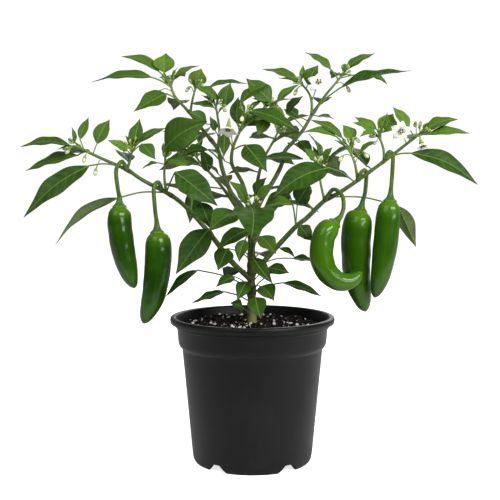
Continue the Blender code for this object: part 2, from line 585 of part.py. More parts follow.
def make_pot(mat):
    """A nursery pot: rolled lip, straight collar, step, tapered wall, and a raised floor on a skirt of feet."""
    collar_foot = POT_HEIGHT - COLLAR_HEIGHT
    lip_foot = POT_HEIGHT - LIP_HEIGHT
    wall = turned([
        (BASE_RADIUS - 1.5, 0), (BASE_RADIUS, 3), (BASE_RADIUS + 0.6, FLOOR_HEIGHT),
        (BODY_RADIUS, collar_foot - 6), (BODY_RADIUS + 0.6, collar_foot), (COLLAR_RADIUS - 2.2, collar_foot + 2),
        (COLLAR_RADIUS - 1.2, collar_foot + 6), (COLLAR_RADIUS, lip_foot - 4), (COLLAR_RADIUS + 1.6, lip_foot - 3.6),
        (COLLAR_RADIUS + 1.6, lip_foot), (LIP_RADIUS - 0.9, lip_foot), (LIP_RADIUS, lip_foot + 1.2),
        (LIP_RADIUS, POT_HEIGHT - 1.6), (LIP_RADIUS - 1.6, POT_HEIGHT), (LIP_RADIUS - 4.5, POT_HEIGHT),
        (LIP_RADIUS - 6.4, POT_HEIGHT - 2.2), (COLLAR_RADIUS - WALL, lip_foot - 6),
        (COLLAR_RADIUS - WALL - 1.2, collar_foot + 4.5), (BODY_RADIUS - WALL, collar_foot + 1),
        (BODY_RADIUS - WALL - 0.3, collar_foot - 6), (BASE_RADIUS - WALL - 1, FLOOR_HEIGHT + WALL),
        (0.0, FLOOR_HEIGHT + WALL), (0.0, FLOOR_HEIGHT), (BASE_RADIUS - 2 * WALL - 1.2, FLOOR_HEIGHT),
        (BASE_RADIUS - 2 * WALL - 1.6, 0),
    ], POT_SIDES, "pot")
    cutters = []
    for k in range(FEET):
        turn = Matrix.Rotation(math.radians(-54 + 72 * k), 4, "Z")
        bm = bmesh.new()
        bmesh.ops.create_cube(bm, size=1, matrix=Matrix.Diagonal((30, NOTCH_WIDTH, 8.4, 1)))
        for vert in bm.verts:
            if vert.co.z > 0:
                vert.co.y *= 0.35
        bmesh.ops.transform(bm, matrix=turn @ Matrix.Translation((BASE_RADIUS, 0, 3.3)), verts=bm.verts)
        cutters.append(finish(bm, "notch"))
        hole = turn @ Vector((BASE_RADIUS - 16, 0, FLOOR_HEIGHT))
        cutters.append(finish(tube([hole - Vector((0, 0, 4)), hole + Vector((0, 0, 6))], [DRAIN_RADIUS] * 2, 10),
                              "drain"))
    pot = combine(wall, cutters, "pot", "DIFFERENCE")
    pot.name = pot.data.name = "pot"
    pot.data.materials.clear()
    pot.data.materials.append(mat)
    pot.data.shade_smooth()
    pot.data.set_sharp_from_angle(angle=math.radians(35))


def make_soil(mat, draws):
    """Potting mix from the pot's floor up, with a lumpy top and a plain hole for the trunk."""
    collar_foot = POT_HEIGHT - COLLAR_HEIGHT
    gap = GAP + 0.25  # the pot's wall is flat between its corners
    bm = bmesh.new()
    bottom = FLOOR_HEIGHT + WALL + GAP
    wall_top = COLLAR_RADIUS - WALL - 0.7 - gap
    profile = [
        (TRUNK_HOLE, bottom + 80), (TRUNK_HOLE, SOIL_HEIGHT), (16, SOIL_HEIGHT + 1), (30, SOIL_HEIGHT),
        (44, SOIL_HEIGHT), (58, SOIL_HEIGHT - 1), (wall_top, SOIL_HEIGHT - 3),
        (COLLAR_RADIUS - WALL - 1.2 - gap, collar_foot + 4.5), (BODY_RADIUS - WALL - gap, collar_foot + 1),
        (BODY_RADIUS - WALL - 0.3 - gap, collar_foot - 6), (BASE_RADIUS - WALL - gap - 1.5, bottom),
    ]
    verts = [bm.verts.new((radius, 0, height)) for radius, height in profile]
    edges = [bm.edges.new(pair) for pair in zip(verts, verts[1:])]
    bmesh.ops.spin(bm, geom=verts + edges, cent=(0, 0, 0), axis=(0, 0, 1), angle=2 * math.pi, steps=28,
                   use_merge=True)
    bmesh.ops.remove_doubles(bm, verts=bm.verts, dist=0.01)
    bmesh.ops.holes_fill(bm, edges=[e for e in bm.edges if e.is_boundary], sides=0)
    for vert in bm.verts:
        reach = vert.co.xy.length
        if vert.co.z > SOIL_HEIGHT - 2 and TRUNK_HOLE + 1 < reach < wall_top - 1:
            vert.co.z += draws.uniform(-SOIL_RISE, SOIL_RISE)
    bmesh.ops.triangulate(bm, faces=bm.faces)
    finish(bm, "soil", mat)


def main():
    remove_all()
    draws = random.Random(TIP_SEED)
    green = material("leaf_green", (0.055, 0.16, 0.03), 0.45)
    stem = material("stem_green", (0.12, 0.2, 0.05), 0.5)
    fruit = material("fruit_green", (0.03, 0.14, 0.012), 0.2)
    white = material("petal_white", (0.85, 0.86, 0.78), 0.6)
    yellow = material("stamen_yellow", (0.5, 0.45, 0.15), 0.6)
    make_pot(material("pot_plastic", (0.022, 0.022, 0.024), 0.55))
    make_soil(material("potting_mix", (0.03, 0.02, 0.014), 0.95), random.Random(SOIL_SEED))
    for name, shoot in SHOOTS.items():
        make_shoot(name, shoot, green, draws)
    for number, (curve, radius, stalk) in enumerate(CHILLIES, 1):
        make_chilli(number, curve, radius, fruit)
        carrier = "branch_left_low" if number < 3 else "branch_right_low"
        make_stalk(number, curve, stalk, carrier, stem)
    for number, (_, _, centre, axis, radius, spread) in enumerate(FLOWERS, 1):
        make_flower(number, centre, axis, radius, spread, white, yellow)


main()
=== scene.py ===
"""Potted chilli pepper plant, dressed piece by piece over its solids.

Lengths are in millimetres until a piece is finished, which puts it in metres. The origin is on the
ground under the middle of the pot, +Z is up and the front faces -Y.
"""

import math
import random

import bmesh
import bpy
from mathutils import Matrix, Vector, noise


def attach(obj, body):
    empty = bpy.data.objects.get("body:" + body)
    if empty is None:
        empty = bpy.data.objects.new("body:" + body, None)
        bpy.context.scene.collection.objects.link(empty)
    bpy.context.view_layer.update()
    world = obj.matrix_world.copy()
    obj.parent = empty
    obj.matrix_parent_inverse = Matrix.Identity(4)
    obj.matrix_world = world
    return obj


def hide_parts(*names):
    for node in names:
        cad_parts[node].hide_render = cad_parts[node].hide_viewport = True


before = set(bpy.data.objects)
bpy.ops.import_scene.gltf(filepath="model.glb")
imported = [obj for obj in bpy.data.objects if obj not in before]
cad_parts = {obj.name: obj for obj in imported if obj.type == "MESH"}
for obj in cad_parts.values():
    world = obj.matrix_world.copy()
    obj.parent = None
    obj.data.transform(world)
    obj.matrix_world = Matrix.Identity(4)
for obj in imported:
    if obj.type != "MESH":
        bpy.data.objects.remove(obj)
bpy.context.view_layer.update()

# -------------------------------------------------------------------------------------------------
# Pot. A thin nursery pot, injection-moulded in one piece from black polypropylene. Its lip is rolled for
# stacking, a straight collar stiffens it, and drain notches leave five feet under a raised, pierced floor.

POT_HEIGHT = 146.0
LIP_RADIUS = 82.5
LIP_HEIGHT = 6.5
COLLAR_RADIUS = 75.6
COLLAR_HEIGHT = 31.0
BODY_RADIUS = 70.0
BASE_RADIUS = 60.0
POT_WALL = 1.6
FLOOR_HEIGHT = 8.0
FEET = 5
NOTCH_WIDTH = 24.0
NOTCH_HEIGHT = 7.5
NOTCH_DEPTH = 15.0
NOTCH_TAPER = 0.35
DRAIN_RADIUS = 4.0
DRAIN_RING = 44.0


class Wire:
    """A shader value. Sums with it, such as 1 - mask, add their Math nodes beside it."""

    def __init__(self, graph, socket):
        self.graph, self.socket = graph, socket

    def sum(self, operation, *terms):
        return self.graph.node("Math", {"operation": operation}, dict(enumerate(terms)))["Value"]

    def __add__(self, other):
        return self.sum("ADD", self, other)

    def __sub__(self, other):
        return self.sum("SUBTRACT", self, other)

    def __rsub__(self, other):
        return self.sum("SUBTRACT", other, self)

    def __mul__(self, other):
        return self.sum("MULTIPLY", self, other)

    def __abs__(self):
        return self.sum("ABSOLUTE", self)

    __radd__ = __add__
    __rmul__ = __mul__

    def fraction(self):
        return self.sum("FRACT", self)

    def rise(self, low, high):
        """0 below low, 1 above high, and a smooth ramp between them."""
        return self.graph.node("MapRange", {"interpolation_type": "SMOOTHSTEP"},
                               {"Value": self, "From Min": low, "From Max": high})["Result"]


class Graph:
    """The nodes of a material or of the studio's surround."""

    def __init__(self, tree):
        self.tree = tree

    def node(self, kind, settings=None, sockets=None):
        """Adds a node: its settings first, then the values or wires of its sockets. Returns its outputs."""
        made = self.tree.nodes.new("ShaderNode" + kind)
        for name, value in (settings or {}).items():
            setattr(made, name, value)
        for key, value in (sockets or {}).items():
            live = [s for s in made.inputs if s.enabled]
            socket = live[key] if isinstance(key, int) else next(s for s in live if s.name == key)
            if isinstance(value, Wire):
                self.tree.links.new(value.socket, socket)
            else:
                socket.default_value = value
        return {s.name: Wire(self, s) for s in made.outputs if s.enabled}

    def split(self, vector):
        return self.node("SeparateXYZ", {}, {"Vector": vector})


class Finish(Graph):
    """A material in the making: a Principled shader with fixed values, and the nodes that feed it."""

    def __init__(self, name, fixed):
        self.material = bpy.data.materials.new(name)
        self.material.use_nodes = True
        super().__init__(self.material.node_tree)
        self.shader = self.tree.nodes["Principled BSDF"]
        for socket, value in fixed.items():
            self.shader.inputs[socket].default_value = value

    def feed(self, **wires):
        """Links wires to the shader's sockets, whose names are given with _ for each space."""
        for name, wire in wires.items():
            self.tree.links.new(wire.socket, self.shader.inputs[name.replace("_", " ")])

    def place(self):
        return self.node("TexCoord")["Object"]

    def mark(self, name, output="Fac"):
        """Reads what was marked on the mesh's vertices."""
        return self.node("Attribute", {"attribute_name": name})[output]

    def noise(self, scale, detail=3.0, roughness=0.6, place=None):
        return self.node("TexNoise", {}, {"Vector": place or self.place(), "Scale": scale,
                                          "Detail": detail, "Roughness": roughness})["Fac"]

    def fibres(self, across, along):
        """Noise drawn out along Z, from its scales across and along."""
        scales = (across, across, along)
        place = self.node("VectorMath", {"operation": "MULTIPLY"}, {0: self.place(), 1: scales})
        return self.noise(1.0, place=place["Vector"])

    def mix(self, share, first, second):
        """A colour between two others."""
        first, second = ((*c, 1) if isinstance(c, tuple) else c for c in (first, second))
        return self.node("Mix", {"data_type": "RGBA"}, {"Factor": share, "A": first, "B": second})["Result"]

    def relief(self, height, strength, depth):
        """Bumps, whose depth is in metres."""
        return self.node("Bump", {}, {"Strength": strength, "Distance": depth, "Height": height})["Normal"]


def as_object(bm, name):
    """Makes a bmesh in millimetres an object in metres."""
    bmesh.ops.scale(bm, vec=(0.001, 0.001, 0.001), verts=bm.verts)
    mesh = bpy.data.meshes.new(name)
    bm.to_mesh(mesh)
    bm.free()
    made = bpy.data.objects.new(name, mesh)
    bpy.context.collection.objects.link(made)
    return made


def place_piece(bm, name, finish, slot, *nodes):
    """Makes a bmesh in millimetres a piece of the plant, which stands for the named solids."""
    piece = as_object(bm, name)
    piece.data.shade_smooth()
    piece.data.materials.append(finish.material)
    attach(piece, "root")
    if nodes:
        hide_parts(*nodes)
    return piece


def rounded(corners, steps=4):
    """The points of an outline, whose corners are each a radius, a height and the size of its rounding."""
    points = []
    for i, (radius, height, size) in enumerate(corners):
        corner = Vector((radius, height))
        if size == 0:
            points.append(corner)
            continue
        before = Vector(corners[i - 1][:2])
        after = Vector(corners[(i + 1) % len(corners)][:2])
        start = corner + (before - corner).normalized() * size
        end = corner + (after - corner).normalized() * size
        for k in range(steps + 1):
            t = k / steps
            points.append(start.lerp(corner, t).lerp(corner.lerp(end, t), t))
    return points


def turned(points, steps):
    """A bmesh turned around Z from an outline of radius and height."""
    bm = bmesh.new()
    verts = [bm.verts.new((point.x, 0, point.y)) for point in points]
    edges = [bm.edges.new(pair) for pair in zip(verts, verts[1:] + verts[:1])]
    bmesh.ops.spin(bm, geom=verts + edges, cent=(0, 0, 0), axis=(0, 0, 1), angle=2 * math.pi, steps=steps,
                   use_merge=True)
    bmesh.ops.remove_doubles(bm, verts=bm.verts, dist=0.001)
    bmesh.ops.recalc_face_normals(bm, faces=bm.faces)
    return bm


def cut(piece, bm):
    """Cuts the shapes in a bmesh in millimetres out of a piece."""
    bmesh.ops.recalc_face_normals(bm, faces=bm.faces)
    cutter = as_object(bm, "cutter")
    boolean = piece.modifiers.new("cut", "BOOLEAN")
    boolean.object = cutter
    boolean.solver = "EXACT"
    bpy.context.view_layer.update()
    shape = piece.evaluated_get(bpy.context.evaluated_depsgraph_get())
    piece.data = bpy.data.meshes.new_from_object(shape)
    piece.modifiers.clear()
    bpy.data.objects.remove(cutter)


def pot_plastic():
    finish = Finish("pot_plastic", {"IOR": 1.45, "Specular IOR Level": 0.25})
    grain = finish.noise(1700)
    patches = finish.noise(26, 4)
    height = finish.split(finish.place())["Z"]
    streaks = finish.fibres(190, 9)
    dust = (patches * 0.7 + streaks * 0.3).rise(0.5, 0.78) * (1 - height.rise(0.004, 0.05) * 0.75)
    colour = finish.mix(patches.rise(0.35, 0.7), (0.003, 0.0031, 0.0035), (0.0052, 0.0053, 0.006))
    finish.feed(
        Base_Color=finish.mix(dust * 0.22, colour, (0.055, 0.05, 0.044)),
        Roughness=0.34 + grain * 0.07 + patches * 0.08 + dust * 0.2,
        Normal=finish.relief(grain * 0.7 + streaks * 0.3, 0.22, 0.00012),
    )
    return finish


def make_pot():
    step = POT_HEIGHT - COLLAR_HEIGHT
    lip = POT_HEIGHT - LIP_HEIGHT
    bore = COLLAR_RADIUS - POT_WALL
    inside = BODY_RADIUS - POT_WALL
    floor = FLOOR_HEIGHT + POT_WALL
    outline = rounded([
        # up the outside
        (BASE_RADIUS - 1.8, 0, 0.4), (BASE_RADIUS - 0.2, 2.6, 1.8), (BASE_RADIUS + 0.6, FLOOR_HEIGHT, 0),
        (BODY_RADIUS, step - 6, 2), (BODY_RADIUS + 0.6, step - 0.5, 1.2),
        (COLLAR_RADIUS - 2.0, step + 2.2, 2.2), (COLLAR_RADIUS - 1.2, step + 6, 2),
        (COLLAR_RADIUS, lip - 4.4, 0.5), (COLLAR_RADIUS + 1.6, lip - 3.7, 0.6),
        # round the lip
        (COLLAR_RADIUS + 1.7, lip, 0.5), (LIP_RADIUS - 0.5, lip, 1.0), (LIP_RADIUS, lip + 2.4, 1.2),
        (LIP_RADIUS - 0.1, POT_HEIGHT, 2.6), (LIP_RADIUS - 5.6, POT_HEIGHT, 1.8),
        # down the inside to the floor, and back under it
        (bore + 0.3, lip - 3.2, 2.0), (bore - 0.4, lip - 7, 0.5), (bore - 1.1, step + 5, 2),
        (inside + 0.4, step + 1.4, 1.2), (inside - 0.2, step - 6, 2),
        (BASE_RADIUS - POT_WALL - 0.6, floor, 1.4), (0, floor, 0), (0, FLOOR_HEIGHT, 0),
        (BASE_RADIUS - 4.4, FLOOR_HEIGHT, 1), (BASE_RADIUS - 4.8, 0, 0.4),
    ])
    pot = place_piece(turned(outline, steps=160), "nursery_pot", pot_plastic(), "pot", "pot")
    bm = bmesh.new()
    below = 0.9  # the cutters start under the ground
    for k in range(FEET):
        turn = Matrix.Rotation(math.radians(-90 + (k + 0.5) * 360 / FEET), 4, "Z")
        size = Matrix.Diagonal((2 * NOTCH_DEPTH, NOTCH_WIDTH, NOTCH_HEIGHT + below, 1))
        notch = bmesh.ops.create_cube(bm, size=1, matrix=size)["verts"]
        for vert in notch:
            vert.co.y *= NOTCH_TAPER if vert.co.z > 0 else 1
        spot = turn @ Matrix.Translation((BASE_RADIUS, 0, (NOTCH_HEIGHT - below) / 2))
        bmesh.ops.transform(bm, matrix=spot, verts=notch)
        spot = turn @ Matrix.Translation((DRAIN_RING, 0, FLOOR_HEIGHT))
        bmesh.ops.create_cone(bm, cap_ends=True, segments=24, radius1=DRAIN_RADIUS, radius2=DRAIN_RADIUS,
                              depth=5 * POT_WALL, matrix=spot)
    cut(pot, bm)
    pot.data.set_sharp_from_angle(angle=math.radians(40))


make_pot()

# -------------------------------------------------------------------------------------------------
# Potting mix. Damp dark peat with loose crumbs and bark fibres, whitened here and there by grains of
# perlite. It is poured in and watered, so its lumpy top lies under the lip and is drawn up a little
# round the stem.

SOIL_HEIGHT = 138.0
SOIL_RADIUS = 72.6
SOIL_RINGS = 70
TRUNK_HOLE = 4.2
TRUNK_HOLE_FLOOR = 100.0
CRUMBS = 2300
GRAINS = 150
FIBRES = 150
GRAIN_SEED = 5


def ground(x, y):
    """The height of the mix's top."""
    reach = math.hypot(x, y)
    lumps = noise.fractal(Vector((x / 17, y / 17, 3)), 0.9, 2.1, 4)
    fine = noise.fractal(Vector((x / 4, y / 4, 9)), 0.8, 2.0, 3)
    edge = max(0.0, (reach - 58) / 14) ** 2
    return SOIL_HEIGHT + 1.9 * lumps + 0.8 * fine + 1.6 * math.exp(-reach / 12) - 2.4 * edge


def peat():
    finish = Finish("damp_peat", {"Roughness": 0.92, "Specular IOR Level": 0.1})
    coarse = finish.noise(210, 5, 0.65)
    fine = finish.noise(1500, 4, 0.7)
    dark = finish.mix(coarse.rise(0.35, 0.68), (0.003, 0.0024, 0.0015), (0.0125, 0.0092, 0.0055))
    finish.feed(
        Base_Color=finish.mix(fine.rise(0.6, 0.8) * 0.5, dark, (0.075, 0.047, 0.026)),
        Roughness=0.8 + fine * 0.2,
        Normal=finish.relief(coarse * 0.5 + fine * 0.5, 0.8, 0.0012),
    )
    return finish


def perlite():
    finish = Finish("perlite", {"Roughness": 0.9})
    pores = finish.noise(2600)
    stain = finish.noise(120)
    finish.feed(Base_Color=finish.mix(stain.rise(0.4, 0.7), (0.7, 0.68, 0.6), (0.36, 0.31, 0.22)),
                Normal=finish.relief(pores, 0.7, 0.0005))
    return finish


def bark():
    finish = Finish("bark_fibre", {"Roughness": 0.85})
    grain = finish.noise(500, 4)
    finish.feed(Base_Color=finish.mix(grain.rise(0.3, 0.7), (0.045, 0.024, 0.011), (0.16, 0.09, 0.042)),
                Normal=finish.relief(grain, 0.5, 0.0005))
    return finish


def strewn(count, sizes, draws, slender=1.0, sink=0.25):
    """Irregular grains strewn over the mix. Slender ones are drawn out along one side."""
    bm = bmesh.new()
    for _ in range(count):
        reach = (SOIL_RADIUS - 2) * math.sqrt(draws.uniform(0.004, 1))
        angle = draws.uniform(0, 2 * math.pi)
        x, y = reach * math.cos(angle), reach * math.sin(angle)
        size = draws.uniform(0, 1) ** 2.2 * (sizes[1] - sizes[0]) + sizes[0]
        turn = Matrix.Rotation(draws.uniform(0, math.pi), 4, "Z")
        tilt = Matrix.Rotation(draws.uniform(-0.5, 0.5), 4, "X")
        deep, high = size * draws.uniform(0.6, 1), size * draws.uniform(0.5, 0.9)
        spot = Matrix.Translation((x, y, ground(x, y) + size * (0.5 - sink)))
        shape = spot @ (turn @ tilt) @ Matrix.Diagonal((size * slender, deep, high, 1))
        for vert in bmesh.ops.create_icosphere(bm, subdivisions=1, radius=0.5, matrix=shape)["verts"]:
            vert.co += noise.noise_vector(vert.co * 0.9) * size * 0.22
    return bm


def make_soil():
    draws = random.Random(GRAIN_SEED)
    noise.seed_set(GRAIN_SEED)  # noise vectors start from the clock without it
    step = POT_HEIGHT - COLLAR_HEIGHT
    slack = 0.4
    bottom = FLOOR_HEIGHT + POT_WALL + slack
    rings = [TRUNK_HOLE + (SOIL_RADIUS - TRUNK_HOLE) * (k / SOIL_RINGS) for k in range(SOIL_RINGS + 1)]
    outline = [Vector((TRUNK_HOLE, TRUNK_HOLE_FLOOR))] + [Vector((ring, SOIL_HEIGHT)) for ring in rings]
    outline += [Vector(pair) for pair in (
        (COLLAR_RADIUS - POT_WALL - 1.3 - slack, step + 5), (BODY_RADIUS - POT_WALL - slack, step),
        (BASE_RADIUS - POT_WALL - 1.4 - slack, bottom), (0, bottom), (0, TRUNK_HOLE_FLOOR))]
    bm = turned(outline, steps=150)
    for vert in bm.verts:
        if vert.co.z > SOIL_HEIGHT - 0.5:
            vert.co.z = ground(vert.co.x, vert.co.y)
    place_piece(bm, "potting_mix", peat(), "soil", "soil")
    place_piece(strewn(CRUMBS, (0.7, 3.4), draws), "peat_crumbs", peat(), "soil").data.shade_flat()
    place_piece(strewn(GRAINS, (0.9, 4.2), draws, sink=0.1), "perlite_grains", perlite(), "soil")
    place_piece(strewn(FIBRES, (0.5, 1.3), draws, slender=5.0, sink=0.0), "bark_fibres", bark(), "soil")


make_soil()

# -------------------------------------------------------------------------------------------------
# Trunk and branches. One grown stem, woody and tan at its foot, that forks into ever thinner ridged
# green branches. Each fork is a swollen joint with a purple-black tinge, and the young ends are
# yellow-green.

TRUNK = [(0, 0, 104), (0, 0, 140), (-1, 1, 178), (-1, 0, 214), (-1, 0, 240), (-4, -5, 258)]
# The stem and the twigs of each branch: the points each one grows through, and its radius at root and end.
STEMS = {
    "trunk": [(TRUNK, 5.0, 2.6)],
    "branch_left_low": [
        ([(-1, 0, 182), (-21, -3, 201), (-39, -8, 225), (-56, -13, 246), (-76, -18, 265), (-106, -24, 282),
          (-121, -27, 292), (-147, -32, 304), (-169, -36, 315)], 2.9, 1.3),
        ([(-121, -27, 292), (-118, -26, 302), (-116, -25, 312)], 1.4, 1.0),
        ([(-84, -19, 270), (-86, -17, 287), (-85, -16, 303)], 1.5, 1.0),
    ],
    "branch_left_high": [
        ([(-1, 0, 238), (-10, 3, 254), (-21, 7, 269), (-27, 10, 283), (-31, 12, 296), (-35, 14, 313),
          (-49, 19, 331), (-63, 24, 349), (-79, 29, 367), (-84, 34, 381)], 2.7, 1.2),
        ([(-35, 14, 313), (-33, 12, 330), (-35, 12, 346), (-37, 14, 358)], 1.5, 1.0),
        ([(-63, 24, 349), (-61, 26, 362), (-58, 28, 374)], 1.3, 1.0),
    ],
    "branch_centre": [
        ([(-4, -5, 258), (-9, -12, 277), (-14, -15, 287), (-20, -18, 298), (-19, -20, 313),
          (-12, -22, 330), (-6, -24, 346)], 2.3, 1.1),
        ([(-12, -22, 330), (2, -18, 343), (14, -15, 354)], 1.3, 1.0),
    ],
    "branch_right_high": [
        ([(-1, 0, 240), (9, 3, 262), (16, 6, 273), (24, 9, 286), (30, 12, 299), (33, 14, 311),
          (40, 16, 319), (51, 19, 332), (60, 22, 347), (73, 25, 366), (82, 28, 377), (93, 32, 390)],
         2.7, 1.1),
        ([(60, 22, 347), (60, 23, 360), (57, 25, 370), (49, 27, 380)], 1.4, 1.0),
    ],
    "branch_right_low": [
        ([(-1, 0, 188), (10, -1, 199), (21, -3, 212), (43, -7, 236), (54, -9, 245), (71, -12, 262),
          (84, -14, 269), (103, -18, 282), (130, -22, 302), (149, -25, 317), (163, -27, 328)], 2.9, 1.3),
        ([(103, -18, 282), (100, -17, 298), (95, -16, 311)], 1.5, 1.0),
        ([(128, -22, 301), (127, -21, 313), (123, -20, 324)], 1.4, 1.0),
        ([(71, -12, 262), (67, -11, 280), (66, -10, 295)], 1.3, 0.9),
    ],
    "branch_front": [([(-1, 0, 206), (0, -16, 228), (-1, -38, 244), (-1, -62, 257)], 2.1, 1.1)],
    "branch_back": [
        ([(-1, 0, 231), (3, 14, 258), (6, 32, 284), (12, 52, 304), (22, 74, 322), (28, 88, 334)],
         2.3, 1.1),
    ],
    "branch_back_left": [
        ([(-1, 0, 222), (-8, 14, 240), (-22, 32, 262), (-38, 54, 282), (-54, 76, 298), (-62, 88, 308)],
         2.3, 1.1),
    ],
    "branch_back_right": [
        ([(-1, 0, 213), (10, 14, 236), (26, 32, 256), (44, 52, 274), (62, 72, 290), (72, 84, 300)],
         2.3, 1.1),
    ],
}
KNOT_REACH = 3.4  # how far a joint swells along its stem
TRUNK_FLARE = 1.1
SEAM = 0.0002  # points closer than this are welded


def smooth_path(points, steps):
    """A Catmull-Rom curve through the points, with the given number of steps between two of them."""
    pts = [Vector(p) for p in points]
    ends = [2 * pts[0] - pts[1]] + pts + [2 * pts[-1] - pts[-2]]
    path = []
    for a, b, c, d in zip(ends, ends[1:], ends[2:], ends[3:]):
        for k in range(steps):
            t = k / steps
            path.append(0.5 * (2 * b + (c - a) * t + (2 * a - 5 * b + 4 * c - d) * t * t
                               + (3 * b - a - 3 * c + d) * t * t * t))
    path.append(pts[-1])
    return path


def sweep(bm, path, sides, shape):
    """Adds a tube along the path. The shape rule gives its radius from the share of its length and the
    angle round it, and may mark the vertex that it is given."""
    last = len(path) - 1
    runs = [0.0]
    for a, b in zip(path, path[1:]):
        runs.append(runs[-1] + (b - a).length)
    side = (path[1] - path[0]).orthogonal().normalized()
    rings = []
    for i, point in enumerate(path):
        ahead = (path[min(i + 1, last)] - path[max(i - 1, 0)]).normalized()
        side = (side - ahead * side.dot(ahead)).normalized()
        rings.append((runs[i] / runs[-1], point, side, ahead.cross(side)))
    verts = bmesh.ops.create_grid(bm, x_segments=last, y_segments=sides, size=0.5)["verts"]
    for vert in verts:
        share, point, side, other = rings[round((vert.co.x + 0.5) * last)]
        angle = 2 * math.pi * (vert.co.y + 0.5)
        radius = shape(vert, share, angle)
        vert.co = point + (side * math.cos(angle) + other * math.sin(angle)) * radius
    bmesh.ops.remove_doubles(bm, verts=verts, dist=SEAM)


def close(bm):
    """Closes the ends of the tubes and turns every face outwards."""
    bmesh.ops.holes_fill(bm, edges=[e for e in bm.edges if e.is_boundary], sides=0)
    bmesh.ops.recalc_face_normals(bm, faces=bm.faces)


def stem_green():
    finish = Finish("stem_bark", {"Specular IOR Level": 0.25})
    knot = finish.mark("knot")
    young = finish.mark("young")
    fibres = finish.fibres(900, 110)
    blotch = finish.noise(160)
    height = finish.split(finish.place())["Z"]
    wood = (1 - height.rise(0.14, 0.2)) * (0.45 + blotch * 0.5)
    green = finish.mix(young, (0.068, 0.112, 0.018), (0.14, 0.215, 0.03))
    green = finish.mix(fibres.rise(0.42, 0.66) * 0.45, green, (0.15, 0.2, 0.055))
    green = finish.mix(wood, green, (0.25, 0.22, 0.09))
    finish.feed(
        Base_Color=finish.mix(knot.rise(0.3, 1.0) * (0.2 + blotch * 0.8), green, (0.02, 0.018, 0.01)),
        Roughness=0.42 + fibres * 0.2 + wood * 0.2,
        Normal=finish.relief(fibres * 0.7 + blotch * 0.3, 0.45, 0.0004),
    )
    return finish


def add_stem(bm, path, start, end, knots, flare, marks):
    """A stem whose skin runs in five low ridges and swells at each joint, and at its foot in the mix."""
    count = len(path) - 1

    def shape(vert, share, angle):
        point = path[min(round(share * count), count)]
        near = max(math.exp(-((point - knot).length / KNOT_REACH) ** 2) for knot in knots)
        radius = start + (end - start) * share
        ridge = 0.05 * math.cos(5 * angle + 3 * share)
        foot = flare * math.exp(-((point.z - SOIL_HEIGHT + 1) / 8) ** 2)
        vert[marks["knot"]] = near
        vert[marks["young"]] = max(0.0, min(1.0, (1.75 - radius) / 0.7))
        wobble = 0.07 * noise.noise(point * 0.11)
        return radius * (1 + ridge + wobble + 0.3 * near) + foot * (1 + 0.4 * math.cos(4 * angle))

    sweep(bm, path, 16, shape)


def make_stems(name, knots):
    bm = bmesh.new()
    marks = {mark: bm.verts.layers.float.new(mark) for mark in ("knot", "young")}
    flare = TRUNK_FLARE if name == "trunk" else 0.0
    for (_, start, end), path in zip(STEMS[name], PATHS[name]):
        add_stem(bm, path, start, end, knots, flare, marks)
    close(bm)
    place_piece(bm, name + "_stems", STEM_BARK, "foliage", name)


PATHS = {name: [smooth_path(points, 8) for points, _, _ in stems] for name, stems in STEMS.items()}
STEM_BARK = stem_green()
for name, stems in STEMS.items():
    roots = [points[0] for points, _, _ in stems]
    if name == "trunk":
        roots = [branch[0][0][0] for branch in STEMS.values()]
    make_stems(name, [Vector(root) for root in roots])
